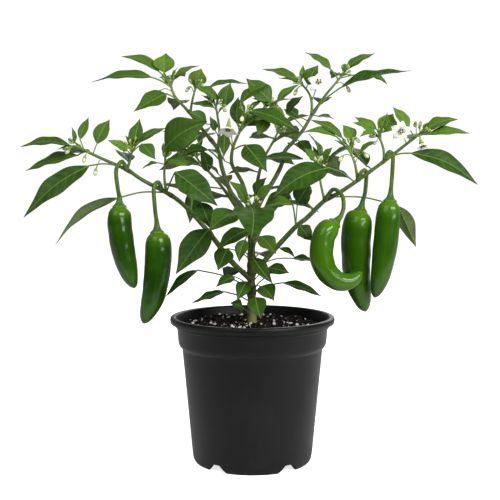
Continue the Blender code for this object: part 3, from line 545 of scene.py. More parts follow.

# -------------------------------------------------------------------------------------------------
# Leaves. Thin satin blades on slender stalks, egg-shaped with a long drawn-out dark tip. The blade folds
# along a pale midrib and puckers between side veins. The upper face is deep green, brighter when young,
# and the under face pale, painted paler still for light shining through the blade.

# Each leaf: base, tip, width, how far its face leans to the front, and the root of a stalk that is long.
LEAVES = {
    "trunk": [
        ((-54, -10, 193), (-86, -14, 167), 14, 0.45, (-1, 0, 175)),
        ((-18, -12, 187), (-36, -26, 178), 14, 0.6, (-1, 0, 171)),
        ((-28, -6, 171), (-61, -10, 160), 14, 0.45, (0, 0, 158)),
        ((-24, -28, 216), (-33, -44, 196), 19, 1.6, (-1, 0, 200)),
        ((30, -6, 180), (69, -12, 167), 14, 0.45, (0, 0, 171)),
        ((15, -17, 196), (36, -28, 192), 16, 0.8, (0, 0, 180)),
        ((3, -32, 169), (8, -50, 150), 19, 2.0, (0, 0, 163)),
        ((0, -14, 206), (20, -34, 182), 15, 1.2, (0, 0, 198)),
        ((-6, -12, 182), (-15, -32, 166), 15, 1.5, (0, 0, 167)),
        ((8, -14, 227), (23, -32, 211), 18, 1.0, (0, 0, 216)),
        ((8, -18, 178), (21, -37, 166), 19, 1.0, (0, 0, 174)),
        ((-10, 16, 190), (-30, 54, 178), 22, -0.5, (0, 0, 180)),
        ((12, 16, 182), (28, 52, 190), 19, -0.5, (0, 0, 167)),
        ((6, 22, 206), (18, 64, 197), 23, -0.4, (0, 0, 196)),
        ((-9, -12, 155), (-22, -22, 162), 13, 1.2, (0, 0, 146)),
        ((-6, -10, 210), (-18, -16, 217), 9, 0.4, (0, 0, 203)),
        ((-7, -14, 224), (-13, -24, 202), 13, 1.5, (0, 0, 230)),
    ],
    "branch_left_low": [
        ((-173, -38, 315), (-219, -46, 314), 17, 0.5),
        ((-168, -30, 306), (-221, -20, 291), 19, 0.7),
        ((-155, -42, 296), (-213, -64, 248), 24, 1.0, (-129, -29, 296)),
        ((-130, -22, 265), (-190, -34, 220), 20, -0.5, (-84, -20, 270)),
        ((-165, -33, 321), (-159, -18, 343), 10, 0.5),
        ((-150, -26, 317), (-139, -14, 341), 15, 2.0),
        ((-116, -24, 314), (-110, -12, 342), 14, 1.5),
        ((-110, -24, 318), (-85, -12, 333), 12, 0.55),
        ((-106, -28, 317), (-92, -42, 302), 15, 0.8),
        ((-119, -36, 310), (-137, -42, 320), 12, 0.8),
        ((-93, -16, 299), (-109, -8, 293), 10, 0.5),
        ((-85, -21, 313), (-43, -38, 338), 32, 2.2),
        ((-82, -16, 303), (-61, -30, 296), 15, 1.0),
        ((-73, -10, 309), (-50, -2, 328), 10, 0.65, (-85, -16, 302)),
        ((-42, -28, 235), (-73, -50, 193), 28, 1.2, (-36, -7, 221)),
        ((-74, -36, 290), (-33, -46, 258), 28, 1.4, (-84, -20, 270)),
        ((-50, -34, 261), (-38, -50, 235), 17, 1.2, (-57, -13, 246)),
        ((-162, -16, 310), (-196, 26, 304), 20, -0.3),
        ((-122, -10, 300), (-140, 34, 312), 20, -0.5),
        ((-60, -4, 262), (-92, 28, 278), 20, -0.5),
    ],
    "branch_left_high": [
        ((-102, 31, 386), (-166, 42, 382), 22, 0.6),
        ((-95, 37, 392), (-135, 48, 409), 16, 0.55),
        ((-90, 36, 391), (-89, 45, 412), 22, 2.0),
        ((-80, 36, 386), (-54, 42, 399), 12, 0.55),
        ((-87, 24, 369), (-118, 6, 350), 21, 1.5, (-74, 28, 361)),
        ((-58, 29, 377), (-52, 33, 395), 19, 2.0),
        ((-44, 18, 375), (-4, 26, 379), 13, 0.45, (-37, 14, 357)),
        ((-27, 10, 356), (-22, 16, 379), 16, 2.5, (-35, 12, 347)),
        ((-34, 12, 362), (-57, 4, 375), 17, 0.8),
        ((-38, 12, 354), (-62, 18, 359), 13, 0.5),
        ((-46, 14, 338), (-64, 8, 350), 16, 0.8),
        ((-37, 8, 331), (-42, 0, 345), 9, 1.0),
        ((-44, 8, 312), (-70, -6, 306), 16, 0.65, (-32, 12, 301)),
        ((-33, 2, 287), (-47, -4, 298), 10, 0.5),
        ((-70, 34, 362), (-84, 76, 356), 22, -0.4),
        ((-44, 26, 328), (-58, 68, 322), 22, -0.4),
        ((-82, 44, 384), (-72, 82, 392), 18, -0.5),
    ],
    "branch_centre": [
        ((18, -16, 358), (-6, -10, 381), 22, 1.2),
        ((-3, -25, 349), (43, -42, 329), 22, 0.6),
        ((-15, -14, 338), (18, -2, 339), 18, 1.4),
        ((-7, -28, 316), (14, -48, 290), 23, 1.5, (-19, -20, 311)),
        ((2, -10, 268), (14, -14, 285), 13, 1.0),
        ((24, -12, 358), (46, -6, 376), 11, 0.65),
        ((-12, -22, 356), (16, -12, 375), 15, 0.5),
        ((14, -21, 341), (5, -31, 324), 14, 0.8, (8, -17, 349)),
        ((22, -10, 352), (0, -20, 361), 10, 0.8),
        ((-26, -26, 300), (-42, -40, 312), 11, 0.6),
        ((-15, -8, 337), (-14, 2, 364), 14, 2.0),
        ((-27, -16, 328), (-28, -22, 304), 11, 1.5, (-19, -20, 314)),
    ],
    "branch_right_high": [
        ((46, 28, 382), (10, 38, 395), 17, 0.55),
        ((80, 32, 394), (54, 38, 412), 16, 0.5, (88, 30, 384)),
        ((56, 25, 378), (66, 20, 397), 17, 2.0),
        ((34, 10, 348), (50, 4, 365), 16, 0.6, (52, 19, 334)),
        ((46, 24, 346), (32, 36, 354), 13, 1.0),
        ((46, 6, 321), (60, -2, 306), 13, 1.0),
        ((66, 18, 346), (81, 10, 343), 11, 0.5),
        ((95, 33, 393), (125, 38, 411), 14, 0.55),
        ((88, 12, 374), (157, 2, 390), 24, 0.5, (61, 22, 348)),
        ((118, 26, 388), (136, 20, 378), 10, 0.65, (92, 31, 389)),
        ((50, 2, 303), (-3, -10, 300), 16, 0.55, (33, 14, 310)),
        ((72, 34, 364), (74, 76, 362), 22, -0.4),
        ((42, 22, 318), (58, 64, 312), 22, -0.4),
        ((92, 40, 388), (84, 82, 390), 18, -0.5),
    ],
    "branch_right_low": [
        ((151, -24, 332), (137, -14, 353), 13, 0.6),
        ((125, -18, 328), (138, -8, 347), 19, 1.5),
        ((119, -20, 328), (98, -14, 338), 12, 0.65),
        ((121, -17, 331), (101, -4, 344), 11, 0.65),
        ((118, -23, 329), (103, -31, 324), 10, 0.5),
        ((104, -19, 308), (121, -25, 320), 11, 0.5),
        ((166, -27, 329), (199, -20, 341), 16, 0.6),
        ((169, -29, 326), (208, -32, 327), 16, 0.6),
        ((152, -30, 308), (218, -26, 278), 23, 0.9, (132, -23, 303)),
        ((88, -14, 323), (57, -10, 341), 13, 0.65),
        ((98, -15, 320), (89, -8, 336), 14, 1.0),
        ((82, -19, 324), (50, -22, 329), 13, 0.65, (95, -16, 309)),
        ((146, 8, 256), (164, 2, 215), 18, -0.7, (78, -13, 266)),
        ((73, -38, 294), (18, -58, 265), 29, 1.2, (101, -18, 280)),
        ((40, -12, 205), (63, -16, 201), 15, 0.4, (10, -1, 199)),
        ((44, -18, 260), (55, -25, 278), 19, 2.0, (43, -7, 236)),
        ((46, -20, 238), (58, -24, 223), 17, 1.0, (40, -7, 233)),
        ((27, -8, 215), (42, -16, 206), 9, 0.5),
        ((61, -8, 301), (50, -12, 313), 12, 0.8),
        ((70, -12, 301), (78, -18, 314), 11, 0.8),
        ((36, -30, 268), (9, -46, 253), 18, 1.4, (43, -7, 236)),
        ((112, -8, 296), (100, 36, 316), 20, -0.5),
        ((52, 0, 262), (40, 42, 284), 20, -0.5),
        ((154, -14, 322), (182, 26, 328), 19, -0.4),
    ],
    "branch_front": [
        ((-1, -68, 257), (-1, -134, 233), 37, 0.8),
        ((-14, -50, 252), (-40, -82, 236), 24, 1.0),
        ((10, -52, 256), (38, -82, 260), 19, 0.8),
        ((-6, -58, 262), (-22, -70, 282), 15, 1.0),
        ((4, -60, 262), (18, -74, 280), 13, 1.0),
        ((-4, -30, 234), (-34, -54, 216), 19, 0.8),
    ],
    "branch_back": [
        ((14, 56, 306), (46, 92, 298), 23, -0.5),
        ((22, 78, 326), (-4, 116, 328), 23, -0.5),
        ((30, 92, 336), (50, 134, 324), 25, -0.6),
        ((28, 90, 340), (20, 98, 370), 18, -1.0),
        ((6, 38, 290), (-26, 62, 288), 21, -0.3),
        ((20, 68, 320), (58, 72, 332), 19, -0.2),
        ((30, 88, 338), (64, 96, 352), 18, -0.3),
        ((2, 20, 266), (-10, 58, 258), 21, -0.3),
    ],
    "branch_back_left": [
        ((-56, 80, 300), (-102, 98, 292), 25, -0.4),
        ((-64, 92, 310), (-82, 134, 300), 25, -0.6),
        ((-60, 90, 314), (-46, 108, 340), 19, -0.6),
        ((-38, 58, 284), (-30, 100, 274), 23, -0.6),
        ((-22, 36, 264), (-64, 56, 256), 21, -0.3),
        ((-66, 86, 312), (-96, 76, 334), 18, 0.3),
        ((-54, 60, 296), (-84, 56, 304), 14, 0.55),
        ((-58, 30, 272), (-64, 18, 238), 16, 1.0, (-30, 42, 270)),
        ((-46, 50, 290), (-54, 40, 314), 15, 1.0),
    ],
    "branch_back_right": [
        ((64, 74, 291), (108, 86, 282), 25, -0.3),
        ((74, 88, 302), (98, 128, 292), 25, -0.6),
        ((72, 86, 306), (62, 108, 332), 19, -0.6),
        ((46, 56, 276), (52, 98, 264), 23, -0.6),
        ((28, 34, 258), (70, 46, 248), 21, -0.2),
        ((80, 78, 300), (110, 70, 320), 18, 0.3),
        ((40, 46, 272), (8, 60, 270), 18, -0.2),
    ],
}
LEAF_SEED = 21
TIP_SEED = 329
TIP_LEAVES = (2, 2)  # young leaves at the end of a main stem and of a twig
TIP_LENGTH = (13.0, 22.0)
LEAF_OUTLINE = [(0, 0.03), (0.05, 0.26), (0.12, 0.56), (0.22, 0.85), (0.35, 1.0), (0.5, 0.96), (0.64, 0.76),
                (0.78, 0.45), (0.88, 0.22), (0.95, 0.09), (1, 0.015)]
BLADE_THICKNESS = 0.32
ARCH = 0.09
SIDE_VEINS = 8
RIPPLE_RATE = 15  # radians of ripple along a blade
DARK_TIP = 0.14  # the share of a blade that darkens
MIDRIB_STEPS = 12


def rule(table):
    """Turns a table of share and size into a smooth rule."""
    line = smooth_path([(share, size, 0) for share, size in table], 6)

    def read(share):
        for a, b in zip(line, line[1:]):
            if share <= b.x:
                break
        return a.y + (b.y - a.y) * max(0.0, min(1.0, (share - a.x) / (b.x - a.x)))

    return read


def nearest(point, paths):
    """The place on the stems that is closest to the point, a little before the end of each stem."""
    return min((p for path in paths for p in path[:-3]), key=lambda p: (p - point).length)


def tip_leaves(path, count, draws):
    """Young leaves that open around the end of a stem."""
    ahead = (path[-1] - path[-3]).normalized()
    side = ahead.orthogonal().normalized()
    leaves = []
    turn = draws.uniform(0, 360)
    for k in range(count):
        around = Matrix.Rotation(math.radians(turn + k * 360 / count), 3, ahead) @ side
        way = (ahead * draws.uniform(0.5, 1.1) + around + Vector((0, 0, 0.3))).normalized()
        length = draws.uniform(*TIP_LENGTH)
        base = path[-1] + way * 3.5
        leaves.append((base, base + way * length, length * 0.36, 0.4, path[-4]))
    return leaves


def leaf_green():
    finish = Finish("leaf_blade", {"Specular IOR Level": 0.16})
    blade = finish.split(finish.mark("blade", "Vector"))
    run, across, edge = blade["X"], blade["Y"], blade["Z"]
    tone, under, rib = finish.mark("tone"), finish.mark("under"), finish.mark("rib")
    broad, fine = finish.noise(90), finish.noise(1300)
    midrib = (1 - abs(across).rise(0.22, 0.75)) * (1 - edge.rise(0.9, 1.0))
    gap = abs(run.fraction() - 0.5)
    vein = (1 - gap.rise(0.02, 0.13)) * (1 - edge.rise(0.55, 0.95))
    halo = 1 - gap.rise(0.05, 0.4)
    tip = finish.mark("point")
    top = finish.mix(tone, (0.0165, 0.057, 0.003), (0.1, 0.21, 0.015))
    top = finish.mix(broad.rise(0.35, 0.7) * 0.45, top, (0.048, 0.12, 0.008))
    top = finish.mix(halo * 0.1, top, (0.07, 0.155, 0.015))
    top = finish.mix(vein * 0.06 + midrib * 0.45, top, (0.17, 0.29, 0.06))
    # The under face is pale green, and is painted lighter still: painted light for the light that shines
    # through the blade.
    low = finish.mix(tone, (0.14, 0.2, 0.065), (0.2, 0.3, 0.065))
    low = finish.mix(vein * 0.25 + midrib * 0.6, low, (0.23, 0.34, 0.12))
    colour = finish.mix(under, top, low)
    colour = finish.mix(fine.rise(0.55, 0.8) * 0.1, colour, (0.12, 0.22, 0.05))
    colour = finish.mix(tip * 0.8, colour, (0.022, 0.026, 0.012))
    colour = finish.mix(rib, colour, (0.11, 0.21, 0.04))
    puckers = gap.rise(0.0, 0.35) * 0.4 + abs(across).rise(0.1, 1.1) * 0.8
    facing = 1 - under * 1.7  # the veins sink into the upper face and stand out of the under one
    finish.feed(
        Base_Color=colour,
        Roughness=0.38 + fine * 0.08 + under * 0.25 + broad * 0.12,
        Normal=finish.relief(puckers * facing * (1 - rib) + broad * 0.8 + fine * 0.16, 0.5, 0.0006),
    )
    return finish


def add_leaf(bm, leaf, paths, marks, draws):
    """A blade cut from a fine grid, with its stalk, which runs on under the blade as the midrib."""
    base, tip = Vector(leaf[0]), Vector(leaf[1])
    width, lean = leaf[2:4]
    length = (tip - base).length
    ahead = (tip - base).normalized()
    root = nearest(Vector(leaf[4]) if len(leaf) > 4 else base - 8 * ahead, paths)
    lift = Vector((0, -lean, 1))
    up = (lift - ahead * lift.dot(ahead)).normalized()
    side = ahead.cross(up)
    from_end = min((root - path[-1]).length for path in paths)
    # short leaves near the end of a stem are young and bright
    tone = max(0.0, min(1.0, 1.13 - length / 75 - from_end / 55 + draws.uniform(-0.36, 0.36)))
    fold, twist, sway = draws.uniform(0.2, 0.6), draws.uniform(-0.35, 0.35), draws.uniform(-0.05, 0.05)
    wave, phase = draws.uniform(0.04, 0.11), draws.uniform(0, 6)
    fall = draws.uniform(0.0, 0.06)
    rows = 22 if length > 26 else 14

    def place(s, v):
        half = 0.5 * width * LEAF_WIDTH(s)
        crease = half * (fold * abs(v) - 0.55 * fold * v * v)
        swing = math.sin(RIPPLE_RATE * s + phase + (2 if v > 0 else 0))
        ripple = wave * width * 0.5 * swing * v * v * math.sin(math.pi * s)
        turn = twist * s * s
        flat, rise = v * half, crease + ripple
        bow = (ARCH * math.sin(math.pi * s) - fall * s * s * (1 - s) * 4) * length
        return (base + (tip - base) * s + side * (flat * math.cos(turn) - rise * math.sin(turn))
                + up * (flat * math.sin(turn) + rise * math.cos(turn) + bow)
                + side * sway * length * math.sin(math.pi * s)), half

    verts = bmesh.ops.create_grid(bm, x_segments=rows, y_segments=8, size=0.5)["verts"]
    faces = dict.fromkeys(face for vert in verts for face in vert.link_faces)
    for vert in verts:
        s, v = vert.co.x + 0.5, vert.co.y * 2
        vert.co, half = place(s, v)
        across = v * half
        run = (s * length - 0.75 * abs(across)) * SIDE_VEINS / length + (0.5 if v > 0 else 0)
        vert[marks["blade"]] = (run, across, abs(v))
        vert[marks["tone"]] = tone
        vert[marks["point"]] = max(0.0, 1 - (1 - s) / DARK_TIP)
    lower = bmesh.ops.extrude_face_region(bm, geom=list(faces), use_keep_orig=True)["geom"]
    for vert in (v for v in lower if isinstance(v, bmesh.types.BMVert)):
        vert.co -= up * BLADE_THICKNESS
        vert[marks["under"]] = 1.0

    way = (base - root).normalized()
    reach = (base - root).length
    mid = (root + base) / 2 + Vector((0, 0, 1)) * reach * 0.06 + way.cross(ahead) * reach * 0.03
    stalk = smooth_path([root, mid, base], 5)
    under_blade = up * (BLADE_THICKNESS + 0.05)
    stalk += [place(k / MIDRIB_STEPS, 0)[0] - under_blade for k in range(1, MIDRIB_STEPS)]
    share_at_base = reach / (reach + length)

    def shape(vert, share, angle):
        vert[marks["rib"]] = 1.0
        vert[marks["tone"]] = tone
        along = max(0.0, (share - share_at_base) / (1 - share_at_base))
        return (0.8 if length > 30 else 0.6) * (1 - 0.88 * along) * (1.35 if share == 0 else 1)

    sweep(bm, stalk, 7, shape)


def make_leaves(name, leaves, draws):
    bm = bmesh.new()
    marks = {mark: bm.verts.layers.float.new(mark) for mark in ("tone", "under", "rib", "point")}
    marks["blade"] = bm.verts.layers.float_vector.new("blade")
    for leaf in leaves:
        add_leaf(bm, leaf, PATHS[name], marks, draws)
    close(bm)
    piece = place_piece(bm, name + "_leaves", LEAF_BLADE, "foliage", name)
    piece.data.set_sharp_from_angle(angle=math.radians(55))


LEAF_WIDTH = rule(LEAF_OUTLINE)
LEAF_BLADE = leaf_green()
tip_draws = random.Random(TIP_SEED)
leaf_draws = random.Random(LEAF_SEED)
for name, leaves in LEAVES.items():
    leaves = list(leaves)
    if name != "trunk":
        for k, path in enumerate(PATHS[name]):
            leaves += tip_leaves(path, TIP_LEAVES[min(k, 1)], tip_draws)
    make_leaves(name, leaves, leaf_draws)

# -------------------------------------------------------------------------------------------------
# Buds. Cream drops of folded petals that hang in green cups from thin crooked stalks, with clusters of
# tiny green ones where the youngest leaves open.

BUDS = {
    "branch_left_low": [(-176, -38, 310), (-160, -40, 302), (-150, -37, 290), (-122, -31, 312),
                        (-120, -21, 315)],
    "branch_left_high": [(-97, 28, 369), (-66, 31, 374), (-80, 40, 391), (-28, 4, 352)],
    "branch_centre": [(-10, -31, 341)],
    "branch_right_high": [(97, 22, 373), (44, 32, 371)],
    "branch_right_low": [(86, -21, 303), (110, -23, 306), (102, -20, 321), (158, -20, 336)],
    "branch_front": [(6, -66, 264)],
    "branch_back": [(34, 96, 336)],
    "branch_back_left": [(-68, 96, 306)],
    "branch_back_right": [(82, 92, 294)],
}
BUD_LENGTH = 7.5
BUD_CUP = 0.36  # the share of a bud that its green cup covers
BUD_SHAPE = [(0, 0.7), (0.1, 1.15), (0.22, 1.6), (0.32, 1.8), (BUD_CUP, 1.75), (0.55, 2.1), (0.72, 2.0),
             (0.88, 1.35), (0.97, 0.7), (1, 0.15)]
TINY_BUDS = 9  # around the end of each stem
BUD_SEED = 4


def bud_cream():
    finish = Finish("bud_petals", {"Roughness": 0.5, "Specular IOR Level": 0.4})
    petal = finish.mark("petal")
    fine = finish.noise(1500)
    green = finish.mix(fine.rise(0.35, 0.7), (0.19, 0.3, 0.035), (0.3, 0.42, 0.07))
    cream = finish.mix(fine.rise(0.4, 0.75) * 0.4, (0.78, 0.78, 0.55), (0.55, 0.6, 0.3))
    finish.feed(Base_Color=finish.mix(petal, green, cream), Normal=finish.relief(fine, 0.3, 0.0004))
    return finish


def add_bud(bm, root, foot, way, size, cream, petal):
    """A bud at the end of a stalk that bows over from the stem. Cream is how pale its petals are."""
    middle = (root + foot) / 2 + Vector((0, 0, 1)) * (foot - root).length * 0.22
    stalk = smooth_path([root, middle, foot], 6)

    def thin(vert, share, angle):
        return 0.5 * min(size, 1) + 0.2 * share ** 3

    sweep(bm, stalk, 8, thin)

    def drop(vert, share, angle):
        vert[petal] = cream * max(0.0, min(1.0, (share - BUD_CUP) / 0.12))
        seam = 1 - 0.07 * abs(math.cos(2.5 * angle + 2 * share)) * min(1, share * 2.5)
        return BUD_SIZE(share) * size * seam

    sweep(bm, [foot + way * BUD_LENGTH * size * k / 16 for k in range(17)], 15, drop)


def make_buds(name, spots, draws):
    bm = bmesh.new()
    petal = bm.verts.layers.float.new("petal")
    for spot in map(Vector, spots):
        root = nearest(spot - Vector((0, 0, 4)), PATHS[name])
        way = ((spot - root).normalized() - Vector((0, 0, 1.3))).normalized()
        foot = spot - way * BUD_LENGTH / 2
        add_bud(bm, root, foot, way, 1.0, draws.uniform(0.75, 1.0), petal)
    for path in PATHS[name]:
        root = path[-2]
        for _ in range(TINY_BUDS):
            way = Vector([draws.uniform(-1, 1) for _ in range(3)]) + Vector((0, 0, 0.4))
            way = (way.normalized() + (path[-1] - path[-3]).normalized() * 0.8).normalized()
            size = draws.uniform(0.4, 0.85)
            add_bud(bm, root, root + way * draws.uniform(4, 10), way, size, draws.uniform(0, 0.25), petal)
    close(bm)
    place_piece(bm, name + "_buds", BUD_PETALS, "foliage", name)


BUD_SIZE = rule(BUD_SHAPE)
BUD_PETALS = bud_cream()
bud_draws = random.Random(BUD_SEED)
for name, spots in BUDS.items():
    make_buds(name, spots, bud_draws)

# -------------------------------------------------------------------------------------------------
# Chillies. Five smooth fleshy fruits, glossy deep green with faint paler streaks, full at the shoulder and
# drawn to a blunt tip. Slight hollows and swellings run round them, so that a highlight on them breaks up.

# The curve through each one from shoulder to tip, its largest radius, and how bright a green it is.
CHILLIES = [
    ([(-128, -33, 257), (-128, -34, 240), (-125, -34, 216), (-120, -34, 195), (-114, -33, 178)],
     11.9, 0.15),
    ([(-92, -30, 232), (-91, -31, 215), (-92, -32, 198), (-96, -32, 170), (-106, -31, 143)], 12.8, 0.1),
    ([(79, -38, 241), (69, -42, 230), (66, -44, 212), (70, -44, 197), (82, -43, 186), (95, -42, 186),
      (105, -41, 194)], 11.2, 0.85),
    ([(107, -8, 252), (104, -7, 237), (103, -6, 212), (105, -6, 182), (113, -6, 151)], 14.8, 0.35),
    ([(134, -20, 262), (132, -21, 240), (129, -22, 212), (125, -22, 188), (120, -21, 167)], 11.9, 0.3),
]
CHILLI_PROFILE = [(0.0, 0.42), (0.03, 0.72), (0.09, 0.92), (0.22, 1.0), (0.45, 0.99), (0.65, 0.9),
                  (0.8, 0.75), (0.91, 0.54), (0.972, 0.31), (1.0, 0.08)]
CHILLI_STEPS = 72
SHOULDER = 0.06  # the share of a fruit that the calyx dents


def chilli_skin():
    finish = Finish("chilli_skin", {"Coat Roughness": 0.15, "Specular IOR Level": 0.07, "IOR": 1.45})
    bright, run, streak = finish.mark("bright"), finish.mark("run"), finish.mark("streak")
    cloud = finish.noise(38, 4, 0.55)
    speck = finish.noise(700, 3, 0.65)
    dimple = finish.noise(150, 2, 0.5)
    green = finish.mix(bright, (0.0025, 0.03, 0.0002), (0.054, 0.162, 0.001))
    green = finish.mix(cloud.rise(0.4, 0.68) * 0.55, green, (0.028, 0.11, 0.0005))
    green = finish.mix(streak * 0.3, green, (0.05, 0.13, 0.002))
    # Painted light: the shoulder is painted a lighter yellow-green, for light from the white surround that
    # shines in the skin.
    green = finish.mix((1 - run.rise(0.0, 0.2)) * 0.7, green, (0.085, 0.22, 0.003))
    # Painted light: the lower end is painted a lighter green, for light thrown up from the white floor.
    green = finish.mix(run.rise(0.55, 0.95) * 0.3, green, (0.06, 0.17, 0.002))
    finish.feed(
        Base_Color=finish.mix(speck.rise(0.56, 0.75) * 0.14, green, (0.08, 0.19, 0.015)),
        Roughness=0.24 + speck * 0.06 + cloud * 0.08,
        Coat_Weight=0.42 + cloud * 0.16,
        Normal=finish.relief(dimple * 0.6 + speck * 0.05, 0.22, 0.0012),
    )
    return finish


def make_chilli(number, curve, radius, bright):
    bm = bmesh.new()
    marks = {mark: bm.verts.layers.float.new(mark) for mark in ("bright", "run", "streak")}
    path = smooth_path(curve, CHILLI_STEPS // (len(curve) - 1))

    def shape(vert, share, angle):
        across, deep = math.cos(angle), math.sin(angle)
        lobes = 0.035 * math.cos(3 * angle + number) * (1 - share) ** 2
        oval = 0.012 * math.cos(2 * angle + 2 * number)
        hollow = 0.05 * noise.noise(Vector((across, deep, share * 8 + 9 * number)))
        pale = noise.noise(Vector((3.2 * across, 3.2 * deep, share * 1.6 + number)))
        dent = -0.1 * abs(math.cos(2.5 * angle)) * max(0.0, 1 - share / SHOULDER)
        vert[marks["bright"]] = bright
        vert[marks["run"]] = share
        vert[marks["streak"]] = max(0.0, pale)
        return radius * CHILLI_SIZE(share) * (1 + (lobes + oval) + hollow + dent)

    sweep(bm, path, 44, shape)
    close(bm)
    place_piece(bm, f"chilli_{number}_skin", CHILLI_SKIN, "fruit", f"chilli_{number}")


CHILLI_SIZE = rule(CHILLI_PROFILE)
CHILLI_SKIN = chilli_skin()
for number, (curve, radius, bright) in enumerate(CHILLIES, 1):
    make_chilli(number, curve, radius, bright)

# -------------------------------------------------------------------------------------------------
# Fruit stalks. Each chilli hangs from a ridged yellow-green stalk that hooks over from its branch and
# flares like a trumpet into a scalloped calyx, which grips the fruit's shoulder with a paler ring.

STALKS = [
    [(-121, -27, 292), (-125, -33, 300), (-130, -38, 292), (-129, -37, 275), (-128, -33, 257)],
    [(-88, -20, 272), (-91, -25, 280), (-95, -30, 275), (-94, -31, 255), (-92, -30, 232)],
    [(71, -12, 262), (79, -18, 273), (87, -25, 267), (88, -31, 256), (79, -38, 241)],
    [(103, -18, 282), (106, -22, 290), (111, -18, 290), (111, -11, 271), (107, -8, 252)],
    [(130, -22, 302), (132, -23, 309), (136, -22, 306), (136, -20, 288), (134, -20, 262)],
]
CALYX_RADIUS = 6.6
CALYX_HEIGHT = 9.5
CALYX_RINGS = 14
FLARE_LENGTH = 15.0
STALK_RADIUS = 1.7
FLARE = [(0, 0.0), (0.3, 0.08), (0.52, 0.2), (0.7, 0.42), (0.8, 0.7), (0.87, 0.92), (0.93, 1.0), (1, 0.9)]


def stalk_green():
    finish = Finish("fruit_stalk", {"Roughness": 0.4, "Specular IOR Level": 0.25})
    run = finish.mark("run")
    fibres = finish.fibres(800, 120)
    green = finish.mix(fibres.rise(0.35, 0.7), (0.048, 0.1, 0.009), (0.1, 0.18, 0.022))
    green = finish.mix(run.rise(0.6, 0.93) * 0.6, green, (0.04, 0.13, 0.006))
    finish.feed(Base_Color=finish.mix(run.rise(0.955, 0.985) * 0.7, green, (0.12, 0.22, 0.025)),
                Normal=finish.relief(fibres, 0.4, 0.0004))
    return finish


def make_stalk(number, stalk, fruit):
    top = Vector(fruit[0])
    down = (Vector(fruit[1]) - top).normalized()
    path = smooth_path(stalk[:-1] + [top - down * CALYX_HEIGHT], 9)
    path += [top - down * CALYX_HEIGHT * (1 - k / CALYX_RINGS) for k in range(1, CALYX_RINGS + 1)]
    path += [top + down * 0.8, top + down * 1.6]  # the rim reaches over the shoulder
    bm = bmesh.new()
    run = bm.verts.layers.float.new("run")
    total = sum((b - a).length for a, b in zip(path, path[1:]))
    flare_from = 1 - FLARE_LENGTH / total

    def shape(vert, share, angle):
        vert[run] = share
        opening = max(0.0, (share - flare_from) / (1 - flare_from))
        ridge = 1 + 0.06 * math.cos(5 * angle) + 0.03 * opening ** 3 * math.cos(5 * angle + number)
        hook = 1 + 0.35 * max(0.0, 1 - share / 0.12)
        return (STALK_RADIUS * 1.15 * hook + (CALYX_RADIUS - STALK_RADIUS) * STALK_FLARE(opening)) * ridge

    sweep(bm, path, 24, shape)
    close(bm)
    place_piece(bm, f"chilli_{number}_stalk", FRUIT_STALK, "stalk", f"chilli_stalk_{number}")


STALK_FLARE = rule(FLARE)
FRUIT_STALK = stalk_green()
for number, (stalk, (fruit, _, _)) in enumerate(zip(STALKS, CHILLIES), 1):
    make_stalk(number, stalk, fruit)

# -------------------------------------------------------------------------------------------------
# Flowers. White stars of five petals, thin and a little crimped, each on its own nodding stalk and green
# cup. Five olive anthers on white threads stand round the pale style.

# The branch that carries each one, where its stalk starts, its middle, which way it faces, its radius and
# how wide it has opened.
FLOWERS = [
    ("branch_centre", (-19, -20, 313), (-23, -33, 333), (-0.1, -0.42, -0.9), 15, 0.58),
    ("branch_right_high", (60, 23, 360), (66, 15, 379), (0.1, -0.95, 0.3), 11.5, 1.0),
    ("branch_right_low", (149, -25, 317), (142, -33, 329), (-0.1, -0.95, -0.1), 11.0, 0.9),
    ("branch_right_low", (157, -26, 322), (160, -44, 317), (0.2, -0.5, -0.85), 9.0, 0.45),
]
FLOWER_SEED = 9
PETALS = 5
STYLE_LENGTH = 5.2
STAMEN_LENGTH = 3.9
THREAD_SHARE = 0.4  # the share of a stamen below its anther
PETAL_THICKNESS = 0.3
PETAL_SHAPE = [(0, 0.34), (0.2, 0.62), (0.4, 0.76), (0.55, 0.72), (0.72, 0.52), (0.88, 0.26), (1, 0.04)]


def petal_white_painted_glow():
    # The petals' emission is a painted glow: light that stands in for the light shining through the thin
    # petals.
    finish = Finish("petal", {"Roughness": 0.55, "Specular IOR Level": 0.35, "Emission Strength": 0.2})
    run = finish.mark("run")
    fine = finish.noise(900)
    white = finish.mix(fine.rise(0.35, 0.75) * 0.5, (0.7, 0.71, 0.63), (0.6, 0.62, 0.5))
    finish.feed(Base_Color=finish.mix((1 - run.rise(0.0, 0.3)) * 0.55, white, (0.5, 0.54, 0.26)),
                Emission_Color=white,
                Normal=finish.relief(fine, 0.35, 0.0004))
    return finish


def anther_olive():
    finish = Finish("anther", {"Roughness": 0.7})
    pollen = finish.noise(3000, 2)
    dark = finish.mark("dark")
    anther = finish.mix(pollen.rise(0.4, 0.7), (0.085, 0.07, 0.03), (0.2, 0.17, 0.07))
    finish.feed(Base_Color=finish.mix(dark, (0.72, 0.75, 0.5), anther),
                Normal=finish.relief(pollen, 0.4, 0.0003))
    return finish


def make_flower_stalk(number, name, root, cup, axis):
    """The stalk of a flower, which widens into its cup."""
    root = nearest(root, PATHS[name])
    path = smooth_path([root, (root + cup) / 2 - axis * 5, cup - axis * 8, cup - axis * 3.5], 6)
    path += [cup - axis * back for back in (2.6, 1.8, 0.9, 0)]
    last = len(path) - 1

    def stalk(vert, share, angle):
        back = (1 - share) * last
        return (0.6 + 1.75 * max(0.0, 1 - back / 5) ** 0.8) * (1 + 0.05 * math.cos(5 * angle))

    bm = bmesh.new()
    sweep(bm, path, 15, stalk)
    close(bm)
    place_piece(bm, f"flower_{number}_stalk", BUD_PETALS, "foliage", name)


